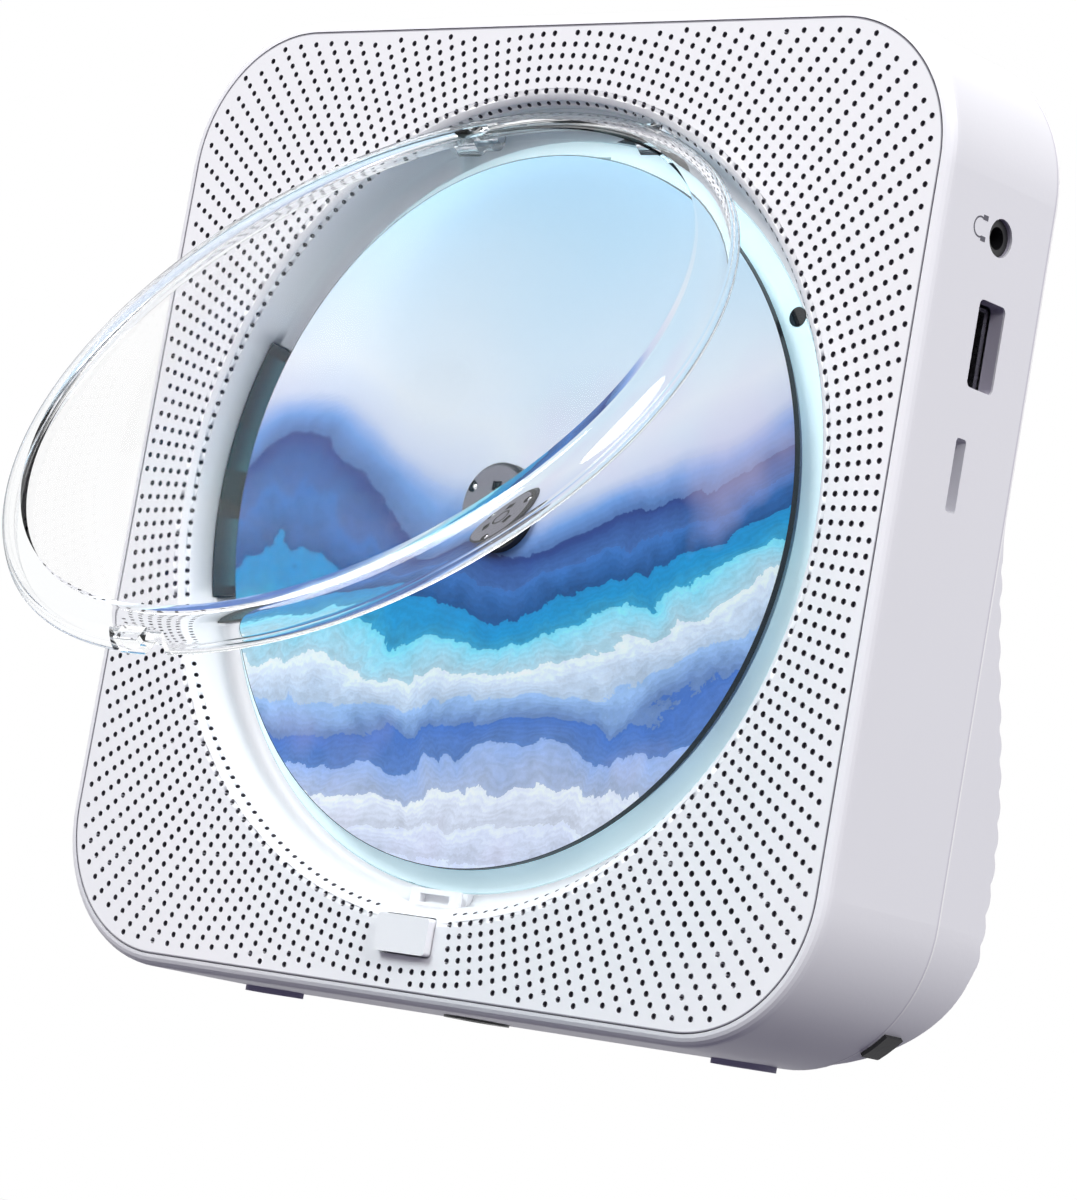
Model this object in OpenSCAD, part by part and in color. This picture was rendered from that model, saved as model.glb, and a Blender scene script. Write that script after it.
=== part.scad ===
// Wall-mounted CD player, square and shallow, with a clear lid that swings up over the disc.
// Lengths are in millimetres. +X is right, -Y is the front, +Z is up.
// The origin lies midway between the two hanging holes, on the outer face of the rear cover.

/* [Housing] */
// Width of the housing across the front
body_w = 166; // [164:1:190]
// Height of the housing
body_h = 166; // [164:1:190]
// Depth of the housing from its front edge to its rear edge
body_d = 29.5; // [29.5:0.5:36]
// Radius of the housing's four corners, seen from the front
corner_r = 25.5; // [22:0.5:30]
// Radius of the rounded front edge
edge_r = 2; // [1.4:0.1:2.4]
// Thickness of the side walls
wall = 2.8; // [2.6:0.1:3.4]
// Height of the rubber feet
foot_h = 0.9; // [0.6:0.1:2]
// Distance of each foot from the middle
foot_x = 52; // [40:1:54]

/* [Front grille] */
// Thickness of the perforated front sheet
face_t = 2; // [1.6:0.1:2.2]
// Gap between a sheet and the housing that it sits in
seat_gap = 0.15; // [0.1:0.05:0.3]
// Number of holes in each ring of perforations
ring_holes = 200; // [180:4:220]
// Step from one ring of perforations to the next
ring_pitch = 1.97; // [1.9:0.01:2.2]
// Distance of the first full ring of perforations inside the flat sheet's edge
ring_in = 0.4; // [0:0.02:0.6]
// Diameter of one perforation
perf_d = 1; // [0.8:0.05:1.2]

/* [Disc well] */
// Width from the foot of the well's wall out to the flat sheet
roll_w = 4.16; // [4:0.02:4.6]
// Radius of that rolled edge
roll_r = 2.8; // [2.4:0.1:3]
// Gap between the disc's edge and the foot of the well's wall
disc_gap = 6; // [5.8:0.1:6.4]
// Depth of the ledge that surrounds the disc
ledge_y = 8.5; // [8.3:0.1:9]
// How far the glowing ledge reaches in under the disc
ledge_under = 1.5; // [1:0.1:2.5]
// Thickness of the ledge ring and of the deck behind it
deck_t = 2; // [1.6:0.1:2.4]

/* [Disc] */
// Diameter of the disc
disc_d = 120; // [119.7:0.1:120.3]
// Thickness of the disc
disc_t = 1.2; // [1.1:0.05:1.3]
// Diameter of the hole in the disc
disc_hole_d = 15; // [14.9:0.05:15.1]
// Depth of the disc's printed face
disc_y = 4.7; // [4.5:0.1:5]
// Radius of the plate that carries the disc
plate_r = 15; // [13:0.5:16]
// Height of the hub above the disc's printed face
hub_rise = 2.2; // [1.6:0.1:2.4]

/* [Lid] */
// Gap between the clear lid and the foot of the well's wall
lid_gap = 1.4; // [1.2:0.1:2]
// Wall thickness of the clear lid
lid_t = 2; // [1.6:0.1:2.2]
// Height of the lid's dished rim
lid_rise = 5.7; // [5.7:0.1:6.4]
// Rise of the lid's crown above its rim
lid_crown = 1; // [0.4:0.1:1.6]
// Depth of the lid's rim when the lid is shut
lid_rim_y = 5.1; // [4.9:0.1:5.2]
// Angle at which the lid stands open
lid_open = 36; // [0:1:36]
// Depth of the hinge axis
hinge_y = 6.7; // [6.6:0.05:6.8]
// Distance of the hinge axis inside the lid's outer edge
hinge_in = 0.9; // [0.8:0.1:1.1]
// Distance of each hinge knuckle from the middle
knuckle_x = 20; // [18:0.5:21]
// Width of one hinge knuckle
knuckle_w = 5; // [3:0.5:5]
// Diameter of the hinge pins
pin_d = 2; // [1.6:0.1:2.2]

/* [Buttons] */
// Width of the lid button on the front
latch_w = 11.2; // [9:0.2:12]
// Height of the lid button on the front
latch_h = 6.2; // [5:0.2:6.4]
// Distance that the lid button stands out of the sheet
latch_rise = 1.5; // [1:0.1:2]
// Travel of the lid button
latch_travel = 1; // [0.6:0.1:1.2]
// Number of keys on the top
key_count = 6; // [2:1:6]
// Spacing of the keys on the top
key_pitch = 13; // [12:0.5:14]
// Length of one key
key_l = 9; // [7:0.5:9.5]
// Width of one key
key_w = 5; // [4:0.5:6]
// Distance that a key stands out of the top
key_rise = 0.8; // [0.7:0.1:1.4]
// Travel of one key
key_travel = 0.6; // [0.4:0.1:0.7]

/* [Sockets] */
// Diameter of the headphone plug that the jack takes
phone_d = 3.5; // [3.4:0.1:3.6]
// Height of the headphone jack above the disc's centre
phone_z = 49.2; // [48.5:0.1:50]
// Height of the memory-stick recess above the disc's centre
usb_z = 32; // [31.5:0.1:32.5]
// Height of the card slot above the disc's centre
card_z = 11; // [10:0.1:12]
// Diameter of the power plug that the inlet takes
inlet_d = 5.6; // [5.4:0.1:5.8]

/* [Rear] */
// Distance that the ribbed bulge stands out behind the housing
bulge_out = 12.3; // [11:0.1:14]
// Pitch of the bulge's ribs
rib_pitch = 4.85; // [4.6:0.05:5.2]
// Height of the bulge's ribs
rib_h = 0.7; // [0.4:0.1:0.9]
// Thickness of the rear cover
cover_t = 2; // [1.8:0.1:2.4]
// Spacing of the two hanging holes
hang_w = 80; // [60:1:84]
// Height of the hanging holes above the disc's centre
hang_z = 52; // [44:1:56]
// Diameter of a hanging hole's entry
hang_d = 8; // [7:0.5:9]
// Width of a hanging hole's neck
neck_w = 4; // [3.5:0.1:4.5]

/* [Speakers] */
// Diameter of a speaker's basket
speaker_d = 28; // [24:1:28]
// Distance of a speaker from the middle, across and down
speaker_xz = 59.4; // [59:0.1:60]

/* [Disc drive] */
// Module of the sled's gear teeth
tooth_m = 0.8; // [0.6:0.1:0.8]
// Teeth on the sled's gear
gear_teeth = 24; // [20:1:26]
// Teeth on the motor's pinion
pinion_teeth = 10; // [10:1:12]
// Distance of the lens from the disc's centre at rest
lens_z = 23; // [23:1:24]
// Travel of the sled
sled_travel = 32; // [20:1:32]
// Diameter of the sled's guide rods
rod_d = 3; // [2.6:0.1:3]
// Distance of each guide rod from the middle
rod_x = 16; // [15:0.5:16]

/* [Hidden] */
$fn = 72;
run_gap = 0.05;
face_gap = 0.3;
eps = 0.01;

inner_w = body_w - 2 * wall;
inner_h = body_h - 2 * wall;
sheet_w = body_w - 2 * edge_r - 2 * seat_gap + 0.1;
sheet_h = body_h - 2 * edge_r - 2 * seat_gap + 0.1;
sheet_r = corner_r - edge_r;
cover_y = body_d - cover_t;
cover_seat = body_d - 1.4;
well_r = disc_d / 2 + disc_gap;
roll_start = well_r + roll_w;
ring_first = roll_start - ring_in;
ledge_in_r = disc_d / 2 - ledge_under;
lid_r = well_r - lid_gap;
hinge_z = lid_r - hinge_in;
deck_y = ledge_y + deck_t;
deck_back = deck_y + deck_t;
deck_r = well_r + 1.8;
lip_r = well_r - 2.5;
plate_y = disc_y + disc_t;
hub_r = disc_hole_d / 2 - 0.1;
hub_top = disc_y - hub_rise;
chassis_t = 1.5;
chassis_y = deck_back + 4.7;
pocket_x = knuckle_x + knuckle_w / 2 + 3.5;
pocket_front = 2.5;
pocket_back = ledge_y + 1.1;
pocket_top = hinge_z + 6.2;
pocket_low = hinge_z - 2.8;
pocket_wall = 0.8;
knuckle_r = 2.3;
latch_z = -well_r - 5.8;
latch_gap = 0.25;
latch_back = face_t + 1.3;
catch_w = 10.6;
catch_y = 5;
catch_out = well_r + 0.6;
post_x = body_w / 2 - 11.2;
post_z = body_h / 2 - 11.2;
post_r = 3;
port_y = 16.6;
board_y = port_y - 3.6;
key_y = 14;
key_floor = body_h / 2 - wall;
inlet_y = 20.5;
inlet_top = -body_h / 2 + wall + 8;
board_screw_z = [inlet_top + 4, -42];
bulge_top = 9;
bulge_full = -50;
bulge_arc = 20;
bulge_wall = 2.2;
rod_y = chassis_y - 1.9;
sled_w = 2 * rod_x + 6.8;
sled_half = 9;
rack_y = deck_back + 0.9;
rack_t = 2;
rack_x = rod_x + 5.5;
gear_r = tooth_m * gear_teeth / 2;
pinion_r = tooth_m * pinion_teeth / 2;
gear_x = rack_x + gear_r;
gear_z = lens_z + 10;
pinion_turn = -60;
pinion_x = gear_x + (gear_r + pinion_r) * cos(pinion_turn);
pinion_z = gear_z + (gear_r + pinion_r) * sin(pinion_turn);
grommet_places = [[-26.8, -15], [26.8, -15], [-26.8, 60], [26.8, 60]];
ear_angles = [45, 135, 255, 285];
ear_r = well_r + 7;
ir_x = (well_r - 4) * cos(33.5);
ir_z = (well_r - 4) * sin(33.5);

// Part frame and turning helpers
module placed() translate([0, -body_d, -hang_z]) children();
module into(depth = 0) translate([0, depth, 0]) rotate([-90, 0, 0]) mirror([0, 1, 0]) children();
module from_left(x = 0) translate([x, 0, 0]) rotate([90, 0, 90]) children();

function arc(cx, cy, r, a0, a1, n = 8) =
    [for (i = [0:n]) let (a = a0 + (a1 - a0) * i / n) [cx + r * cos(a), cy + r * sin(a)]];

module round_rect(w, h, r) {
    square([w - 2 * r, h], center = true);
    square([w, h - 2 * r], center = true);
    for (x = [-1, 1], y = [-1, 1]) translate([x * (w / 2 - r), y * (h / 2 - r)]) circle(r);
}

module disc_at(x, z, y0, y1, r) into(y0) translate([x, z, 0]) cylinder(r = r, h = y1 - y0);

module block(x0, x1, y0, y1, z0, z1) translate([x0, y0, z0]) cube([x1 - x0, y1 - y0, z1 - z0]);

// Outer form of the housing: square with round corners and a rounded front edge
module outer_form() {
    flat_w = body_w / 2 - corner_r;
    flat_h = body_h / 2 - corner_r;
    for (x = [-1, 1], z = [-1, 1]) into(0) translate([x * flat_w, z * flat_h, 0]) rotate_extrude()
        polygon(concat([[0, body_d], [0, 0]], arc(corner_r - edge_r, edge_r, edge_r, -90, 0, 5), [[corner_r, body_d]]));
    from_left(-flat_w) linear_extrude(2 * flat_w) edge_section(body_h / 2);
    translate([0, 0, -flat_h]) linear_extrude(2 * flat_h) rotate(90) mirror([0, 1, 0]) edge_section(body_w / 2);
}

// Section across the housing, with the depth along X and the width along Y
module edge_section(half) {
    polygon(concat([[body_d, -half]], arc(edge_r, -half + edge_r, edge_r, 270, 180, 5),
        arc(edge_r, half - edge_r, edge_r, 180, 90, 5), [[body_d, half]]));
}

// Posts that take the rear cover's screws
module cover_post(x, z, y0, y1, r) disc_at(x * post_x, z * post_z, y0, y1, r);

module front_housing() {
    color("#eceef2") placed() difference() {
        union() {
            difference() {
                outer_form();
                into(-1) linear_extrude(body_d + 2) round_rect(inner_w, inner_h, corner_r - wall);
            }
            intersection() {
                for (x = [-1, 1], z = [-1, 1]) cover_post(x, z, face_t + 8, cover_y, post_r);
                into(1) linear_extrude(body_d - 2) round_rect(body_w - wall, body_h - wall, corner_r - wall / 2);
            }
            block(inner_w / 2 - 5, inner_w / 2 + 1, board_y - 3.6, board_y - 1.6, 2, 8);
            block(inner_w / 2 - 5, inner_w / 2 + 1, board_y - 3.6, board_y - 1.6, 50, 56);
            for (x = [-1, 1]) block(x * 47 - 3, x * 47 + 3, key_y - 4, key_y + 4, key_floor - 4.6, key_floor + 1);
        }
        into(-1) linear_extrude(1 + face_t) round_rect(sheet_w + 2 * seat_gap, sheet_h + 2 * seat_gap, sheet_r + seat_gap);
        into(cover_y) linear_extrude(cover_t + 1)
            round_rect(sheet_w + 2 * seat_gap, sheet_h + 2 * seat_gap, sheet_r + seat_gap);
        for (x = [-1, 1], z = [-1, 1]) cover_post(x, z, cover_y - 9, cover_y + 1, 1.1);
        for (i = [0:key_count - 1]) key_place(i) translate([0, 0, -wall - 1]) linear_extrude(wall + 2)
            round_rect(key_l + 2 * face_gap, key_w + 2 * face_gap, key_w / 2);
        from_left(body_w / 2 - wall - 1) linear_extrude(wall + 2) {
            translate([port_y - 0.6, phone_z]) circle(3.05);
            translate([port_y + 0.3, usb_z]) round_rect(7, 14, 1);
            translate([port_y - 2.1, card_z]) round_rect(2.6, 11.7, 0.6);
        }
        translate([0, inlet_y, -body_h / 2 - 1]) cylinder(r = 5.7, h = wall + 2);
    }
}

// The well's section: rolled edge, sloping wall and hollow foot
module well_section() {
    roll_end = 160;
    polygon(concat([[roll_start + 1, 0]],
        arc(roll_start, roll_r, roll_r, -90, -roll_end, 10),
        arc(lip_r, ledge_y - 2.5, 2.5, 0, 90, 8),
        [[lip_r, deck_y], [deck_r, deck_y], [deck_r, ledge_y - 2.5],
        [roll_start - roll_r + 1.9, roll_r + 0.6], [roll_start + 0.4, face_t], [roll_start + 1, face_t]]));
}

module sector(from_angle, to_angle, r0, r1, y0, y1) {
    into(y0) rotate(from_angle) rotate_extrude(angle = to_angle - from_angle) translate([r0, 0]) square([r1 - r0, y1 - y0]);
}

display_from = 156;
display_to = 196;
display_in_r = disc_d / 2 + 0.9;

module speaker_perforations(x) {
    for (k = [0:17], i = [0:ring_holes - 1]) {
        r = ring_first + k * ring_pitch;
        a = i * 360 / ring_holes;
        if (norm([r * cos(a) - x * speaker_xz, r * sin(a) + speaker_xz]) < speaker_d / 2 - 6)
            disc_at(r * cos(a), r * sin(a), -1, face_t + 1, perf_d / 2);
    }
}

module grille_panel() {
    color("#f1f2f5") placed() difference() {
        union() {
            into(0) linear_extrude(face_t) difference() {
                round_rect(sheet_w, sheet_h, sheet_r);
                circle(roll_start + 0.5);
            }
            into(0) rotate_extrude($fn = 120) well_section();
            difference() {
                block(-pocket_x - pocket_wall, pocket_x + pocket_wall, face_t - 0.5, pocket_back + pocket_wall,
                    pocket_low, pocket_top + pocket_wall);
                disc_at(0, 0, 0, pocket_back + pocket_wall + 1, roll_start - roll_r + 0.2);
            }
            for (a = ear_angles) disc_at(ear_r * cos(a), ear_r * sin(a), face_t - 0.5, deck_y, 3);
        }
        disc_at(0, 0, -1, deck_y + 1, lip_r);
        sector(75, 105, 40, lip_r + 0.3, deck_y - 2.2, deck_y + 1);
        block(-pocket_x, pocket_x, pocket_front, pocket_back, pocket_low - 5, pocket_top);
        for (x = [-1, 1]) block(x * knuckle_x - knuckle_w / 2 - 0.7, x * knuckle_x + knuckle_w / 2 + 0.7,
            face_t - 0.6, pocket_front + 0.1, pocket_low - 5, hinge_z + 1.7);
        translate([0, hinge_y, hinge_z]) rotate([0, 90, 0])
            cylinder(d = pin_d + 0.04, h = 2 * pocket_x + 2 * pocket_wall + 2, center = true);
        for (a = ear_angles) disc_at(ear_r * cos(a), ear_r * sin(a), deck_y - 6, deck_y + 1, 1.1);
        into(-1) translate([0, latch_z, 0]) linear_extrude(10) round_rect(latch_w + 2 * latch_gap, latch_h + 2 * latch_gap, 0.7 + latch_gap);
        for (x = [-1, 1]) speaker_perforations(x);
        disc_at(ir_x, ir_z, ledge_y - 1, deck_y + 1, 1.7);
        intersection() {
            sector(display_from - 0.2, display_to + 0.2, 40, 80, 0, deck_y + 1);
            into(0) rotate_extrude() polygon([[50, ledge_y - 3], [well_r + 0.5, ledge_y - 3],
                [well_r + 0.5, deck_y + 1], [50, deck_y + 1]]);
        }
        block(-catch_w / 2 - 0.1, catch_w / 2 + 0.1, catch_y - 0.1, ledge_y, -catch_out - 0.1, -disc_d / 2);
    }
}

// Translucent ring that glows around the disc
module light_ring() {
    color("#d8f6f8") placed() difference() {
        into(ledge_y) rotate_extrude($fn = 120) translate([ledge_in_r, 0]) square([lip_r - 0.2 - ledge_in_r, deck_t]);
        sector(display_from - 0.2, display_to + 0.2, display_in_r - 0.2, 80, ledge_y - 1, deck_y + 1);
        block(-7, 7, 0, 20, 50, 60.6);
        disc_at(ir_x, ir_z, 0, 20, 1.7);
    }
}

// Circuit ring with the lamps that light the ledge from behind the deck
module led_ring() {
    color("#2f6b45") placed() {
        into(deck_back + 0.02) difference() {
            rotate_extrude() translate([lip_r - 1.9, 0]) square([5.4, 0.8]);
            translate([-31.4, 0, -1]) cube([62.8, 80, 4]);
            translate([-80, -30, -1]) cube([40, 68, 4]);
        }
    }
    color("#f4e9a0") placed() for (a = [0:20:340])
        if (abs(a - 90) > 31 && abs(a - 180) > 31) into(deck_back - 0.9) rotate(a) translate([lip_r - 0.9, -1.2, 0]) cube([2.4, 2.4, 0.92]);
}

// Smoked window that slopes from the well's wall down to the ledge
module display_window() {
    color("#12363c") placed() intersection() {
        into(0) rotate_extrude($fn = 120) polygon([[well_r + 0.3, ledge_y - 2.7],
            [well_r + 0.3, ledge_y - 1.2], [well_r - 3.6, deck_y - 0.3], [display_in_r, deck_y - 0.3], [display_in_r, ledge_y]]);
        sector(display_from, display_to, 40, 80, 0, 20);
    }
}

// Lit digits module that sits behind the smoked window
module display_module() {
    color("#1c2226") placed() block(-64.4, -61.9, deck_back, deck_back + 2.6, -14, 20);
}

module ir_window() {
    color("#10161a") placed() disc_at(ir_x, ir_z, ledge_y - 0.1, deck_y, 1.6);
}

// White plate under the disc, with the drive's opening and the posts that carry the drive
module deck() {
    color("#e4e7ec") placed() difference() {
        union() {
            disc_at(0, 0, deck_y, deck_back, deck_r);
            for (a = ear_angles) into(deck_y) linear_extrude(deck_t) {
                rotate(a) translate([deck_r - 4, -2.8]) square([ear_r - deck_r + 4, 5.6]);
                translate([ear_r * cos(a), ear_r * sin(a)]) circle(3);
            }
            block(-7, 7, deck_y, deck_back, latch_z - 4, -deck_r + 3);
            for (p = grommet_places) disc_at(p[0], p[1], deck_back - 0.5, chassis_y + 3, 1.6);
        }
        disc_at(0, 0, 0, 30, plate_r + 1.5);
        block(-8, 8, 0, 30, 0, 60.4);
        for (a = ear_angles) disc_at(ear_r * cos(a), ear_r * sin(a), 0, 30, 1.3);
        for (p = grommet_places) disc_at(p[0], p[1], chassis_y - 2, chassis_y + 4, 0.82);
        for (a = [0:20:340])
            if (abs(a - 90) > 31 && abs(a - 180) > 31)
                into(0) rotate(a) translate([lip_r - 1.1, -1.4, 0]) cube([2.8, 2.8, 30]);
        sector(display_from + 3, display_to - 3, display_in_r + 0.6, well_r - 1.2, 0, 30);
    }
}

module screw(x, z, seat_y, shank_r, shank_l, head_r) {
    disc_at(x, z, seat_y - shank_l, seat_y + eps, shank_r);
    difference() {
        disc_at(x, z, seat_y, seat_y + 1.4, head_r);
        into(seat_y + 0.6) translate([x - head_r * 0.6, z - 0.25, 0]) cube([head_r * 1.2, 0.5, 2]);
        into(seat_y + 0.6) translate([x - 0.25, z - head_r * 0.6, 0]) cube([0.5, head_r * 1.2, 2]);
    }
}

module deck_screws() {
    color("#a9adb3") placed() for (a = ear_angles) screw(ear_r * cos(a), ear_r * sin(a), deck_back, 1.05, 6.5, 2);
}

module rear_cover() {
    color("#e6e8ec") placed() difference() {
        union() {
            into(cover_y) linear_extrude(cover_t) round_rect(sheet_w, sheet_h, sheet_r);
            for (x = [-32, 32], z = board_screw_z) disc_at(x, z, chassis_y + 5.4, cover_y + 0.5, 2.5);
        }
        for (x = [-1, 1], z = [-1, 1]) cover_post(x, z, 0, 60, 1.3);
        for (x = [-1, 1], z = [-1, 1]) cover_post(x, z, cover_seat, 60, 2.3);
        for (x = [-1, 1]) hanging_hole(x * hang_w / 2);
        for (x = [-60, 60], z = [-62, -20]) disc_at(x, z, 0, 60, 1.1);
        for (x = [-32, 32], z = board_screw_z) disc_at(x, z, 0, cover_y - 1, 0.82);
        for (x = [-4:4]) block(x * 8 - 2.5, x * 8 + 2.5, 0, 60, 18, 20);
        for (x = [-4:4]) block(x * 8 - 2.5, x * 8 + 2.5, 0, 60, 24, 26);
    }
}

module hanging_hole(x) {
    disc_at(x, hang_z, 0, 60, hang_d / 2);
    disc_at(x, hang_z + 8, 0, 60, neck_w / 2);
    block(x - neck_w / 2, x + neck_w / 2, 0, 60, hang_z, hang_z + 8);
}

module cover_screws() {
    color("#a9adb3") placed() for (x = [-1, 1], z = [-1, 1])
        screw(x * post_x, z * post_z, cover_seat, 1.05, 7.4, 2.1);
}

// Depth of the bulge's back above height z, with its ribs
function bulge_ease(z) = 0.5 - 0.5 * cos(180 * min(1, max(0, (bulge_top - z) / (bulge_top - bulge_full))));
function bulge_rib(z) = rib_h * min(1, (bulge_top - 4 - z) / 8) * abs(sin(180 * (z - bulge_top) / rib_pitch));
bulge_low = 4 - 70;
rib_bottom = bulge_top - 5 - floor((bulge_top - 5 - bulge_low) / rib_pitch) * rib_pitch;

bulge_centre_z = -63;
bulge_centre_y = body_d + bulge_out - rib_h - bulge_arc;

// Section of the bulge, with the depth along X: full size and ribbed, or smooth and set in by a wall
module bulge_section(inset, from, steps) {
    top = bulge_top - 1 - inset;
    polygon(concat([[from, top]],
        [for (i = [0:steps]) let (z = top - (top - bulge_centre_z) * i / steps)
            [body_d - inset + (bulge_out - rib_h) * bulge_ease(z) + (inset > 0 ? 0 : max(0, bulge_rib(z))), z]],
        [for (a = [6:6:60]) [bulge_centre_y + (bulge_arc - inset) * cos(a), bulge_centre_z - (bulge_arc - inset) * sin(a)]],
        [[body_d - 0.5, bulge_centre_z - sqrt(pow(bulge_arc - inset, 2) - pow(body_d - 0.5 - bulge_centre_y, 2))],
        [from, bulge_centre_z - sqrt(pow(bulge_arc - inset, 2) - pow(from - bulge_centre_y, 2))]]));
}

module bulge_form() intersection() {
    into(body_d) linear_extrude(bulge_out + 6) round_rect(body_w, body_h, corner_r);
    from_left(-body_w) linear_extrude(2 * body_w) bulge_section(0, body_d - 1, floor((bulge_top + 62) / rib_pitch * 6));
}

// Space inside the bulge
module bulge_space() intersection() {
    into(body_d - 2) linear_extrude(bulge_out + 8)
        round_rect(body_w - 2 * bulge_wall, body_h - 2 * bulge_wall, corner_r - bulge_wall);
    from_left(-body_w) linear_extrude(2 * body_w) bulge_section(bulge_wall, body_d - 3, 12);
}

module rear_bulge() {
    color("#e9ebef") placed() difference() {
        bulge_form();
        difference() {
            bulge_space();
            for (x = [-60, 60], z = [-62, -20]) disc_at(x, z, body_d - 4, body_d + 20, 3);
        }
        for (x = [-60, 60], z = [-62, -20]) disc_at(x, z, body_d - 1, body_d + 5, 0.82);
    }
}

module bulge_screws() {
    color("#a9adb3") placed() for (x = [-60, 60], z = [-62, -20]) mirror([0, 1, 0]) translate([0, -2 * cover_y, 0])
        screw(x, z, cover_y, 0.8, 6.4, 2);
}

module battery_pack() {
    color("#3a6ea8") placed() into(body_d) translate([0, -50, 0]) linear_extrude(7) round_rect(60, 34, 3);
}

module feet() {
    color("#c9cad1") placed() for (x = [-1, 1])
        translate([x * foot_x, body_d - 3.2, -body_h / 2 - foot_h]) linear_extrude(foot_h) round_rect(12, 5, 2.4);
}

// Thin black pads on the bulge's lower corners
module corner_pads() {
    color("#141416") placed() for (x = [-1, 1]) difference() {
        intersection() {
            into(body_d + 0.2) translate([x * (body_w / 2 - corner_r), -body_h / 2 + corner_r, 0])
                rotate(x > 0 ? -56 : -136) rotate_extrude(angle = 12) square([corner_r + pad_t, 4.4]);
            from_left(-body_w) linear_extrude(2 * body_w) bulge_section(-pad_t, body_d - 1, 24);
        }
        bulge_form();
    }
}
pad_t = 0.7;

module main_board() {
    color("#1f5f3a") placed() difference() {
        union() {
            block(-40, 40, chassis_y + 3.8, chassis_y + 5.4, inlet_top + 0.3, -36);
            block(-9, 3, chassis_y + 2.4, chassis_y + 4, -64, -52);
            block(8, 20, chassis_y + 2.6, chassis_y + 4, -60, -54);
            block(-30, -18, chassis_y - 1.2, chassis_y + 4, -50, -43);
            block(8, 24, chassis_y - 1.2, chassis_y + 4, inlet_top + 1, inlet_top + 6);
        }
        for (x = [-32, 32], z = board_screw_z) disc_at(x, z, 0, 40, 0.95);
    }
}

module capacitors() {
    color("#26324a") placed() for (x = [-24, -14, 26]) disc_at(x, -57, chassis_y - 3, chassis_y + 3.8, 3.1);
}

module board_screws() {
    color("#a9adb3") placed() for (x = [-32, 32], z = board_screw_z) mirror([0, 1, 0]) translate([0, -2 * (chassis_y + 3.8), 0])
        screw(x, z, chassis_y + 3.8, 0.8, 4.6, 1.8);
}

// Narrow board that carries the three sockets of the right-hand side
module io_board() {
    color("#1f5f3a") placed() block(69, inner_w / 2 - 0.2, board_y - 1.6, board_y, 0, 57);
}

module headphone_jack() {
    color("#17181b") placed() difference() {
        union() {
            block(66, inner_w / 2 - 0.1, board_y, board_y + 6.2, phone_z - 4, phone_z + 4);
            from_left(inner_w / 2 - 0.2) translate([port_y - 0.6, phone_z, 0]) cylinder(r = 2.95, h = wall - 0.6);
        }
        from_left(68) translate([port_y - 0.6, phone_z, 0]) cylinder(r = phone_d / 2 + 0.05, h = 20);
    }
}

module usb_socket() {
    color("#8f939b") placed() difference() {
        block(66, inner_w / 2 - 0.3, board_y, board_y + 7.2, usb_z - 6.6, usb_z + 6.6);
        block(68, 90, board_y + 1, board_y + 6.2, usb_z - 6, usb_z + 6);
    }
    color("#f4f5f7") placed() block(67.9, inner_w / 2 - 1.5, board_y + 1.2, board_y + 3, usb_z - 5.5, usb_z + 5.5);
}

module card_socket() {
    color("#a5a9b0") placed() difference() {
        block(67.4, inner_w / 2 - 0.2, board_y, board_y + 3, card_z - 7, card_z + 7);
        block(68.4, 90, port_y - 2.1 - 0.5, port_y - 2.1 + 0.5, card_z - 5.6, card_z + 5.6);
    }
}

module power_inlet() {
    color("#15161a") placed() difference() {
        union() {
            translate([0, inlet_y, -body_h / 2 - 0.4]) cylinder(r = 5.5, h = wall + 0.4);
            block(-6.5, 6.5, inlet_y - 5.5, inlet_y + 5.5, -body_h / 2 + wall, inlet_top);
        }
        translate([0, inlet_y, -body_h / 2 - 1]) cylinder(d = inlet_d, h = 9);
    }
    color("#d0d3d8") placed() translate([0, inlet_y, -body_h / 2 + 1]) cylinder(r = 0.8, h = 7.8);
}

// Speaker baskets fire forward through the perforations in the lower corners
module speaker(x) {
    color("#2a2c31") placed() into(face_t) translate([x * speaker_xz, -speaker_xz, 0]) {
        rotate_extrude() polygon([[speaker_d / 2 - 2.4, 0], [speaker_d / 2, 0], [speaker_d / 2, 1.6], [9.5, 6],
            [9.5, 8.4], [8.6, 8.4], [8.6, 12], [0, 12], [0, 7.4], [4, 7.4], [4, 6.6], [7.4, 6.6], [7.4, 5.4], [speaker_d / 2 - 2.4, 1]]);
    }
}

module cone(x) {
    color("#4a4d55") placed() into(face_t) translate([x * speaker_xz, -speaker_xz, 0]) {
        rotate_extrude() polygon([[0, 1.8], [3.4, 2.6], [5, 4.4], [speaker_d / 2 - 2.6, 0.5],
            [speaker_d / 2 - 2.6, 1], [5.2, 5.2], [3.7, 5.2], [3.7, 7.2], [3.2, 7.2], [3.2, 3.2], [0, 2.4]]);
    }
}

module speaker_left() speaker(-1);
module speaker_right() speaker(1);
module cone_left() cone(-1);
module cone_right() cone(1);

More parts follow.
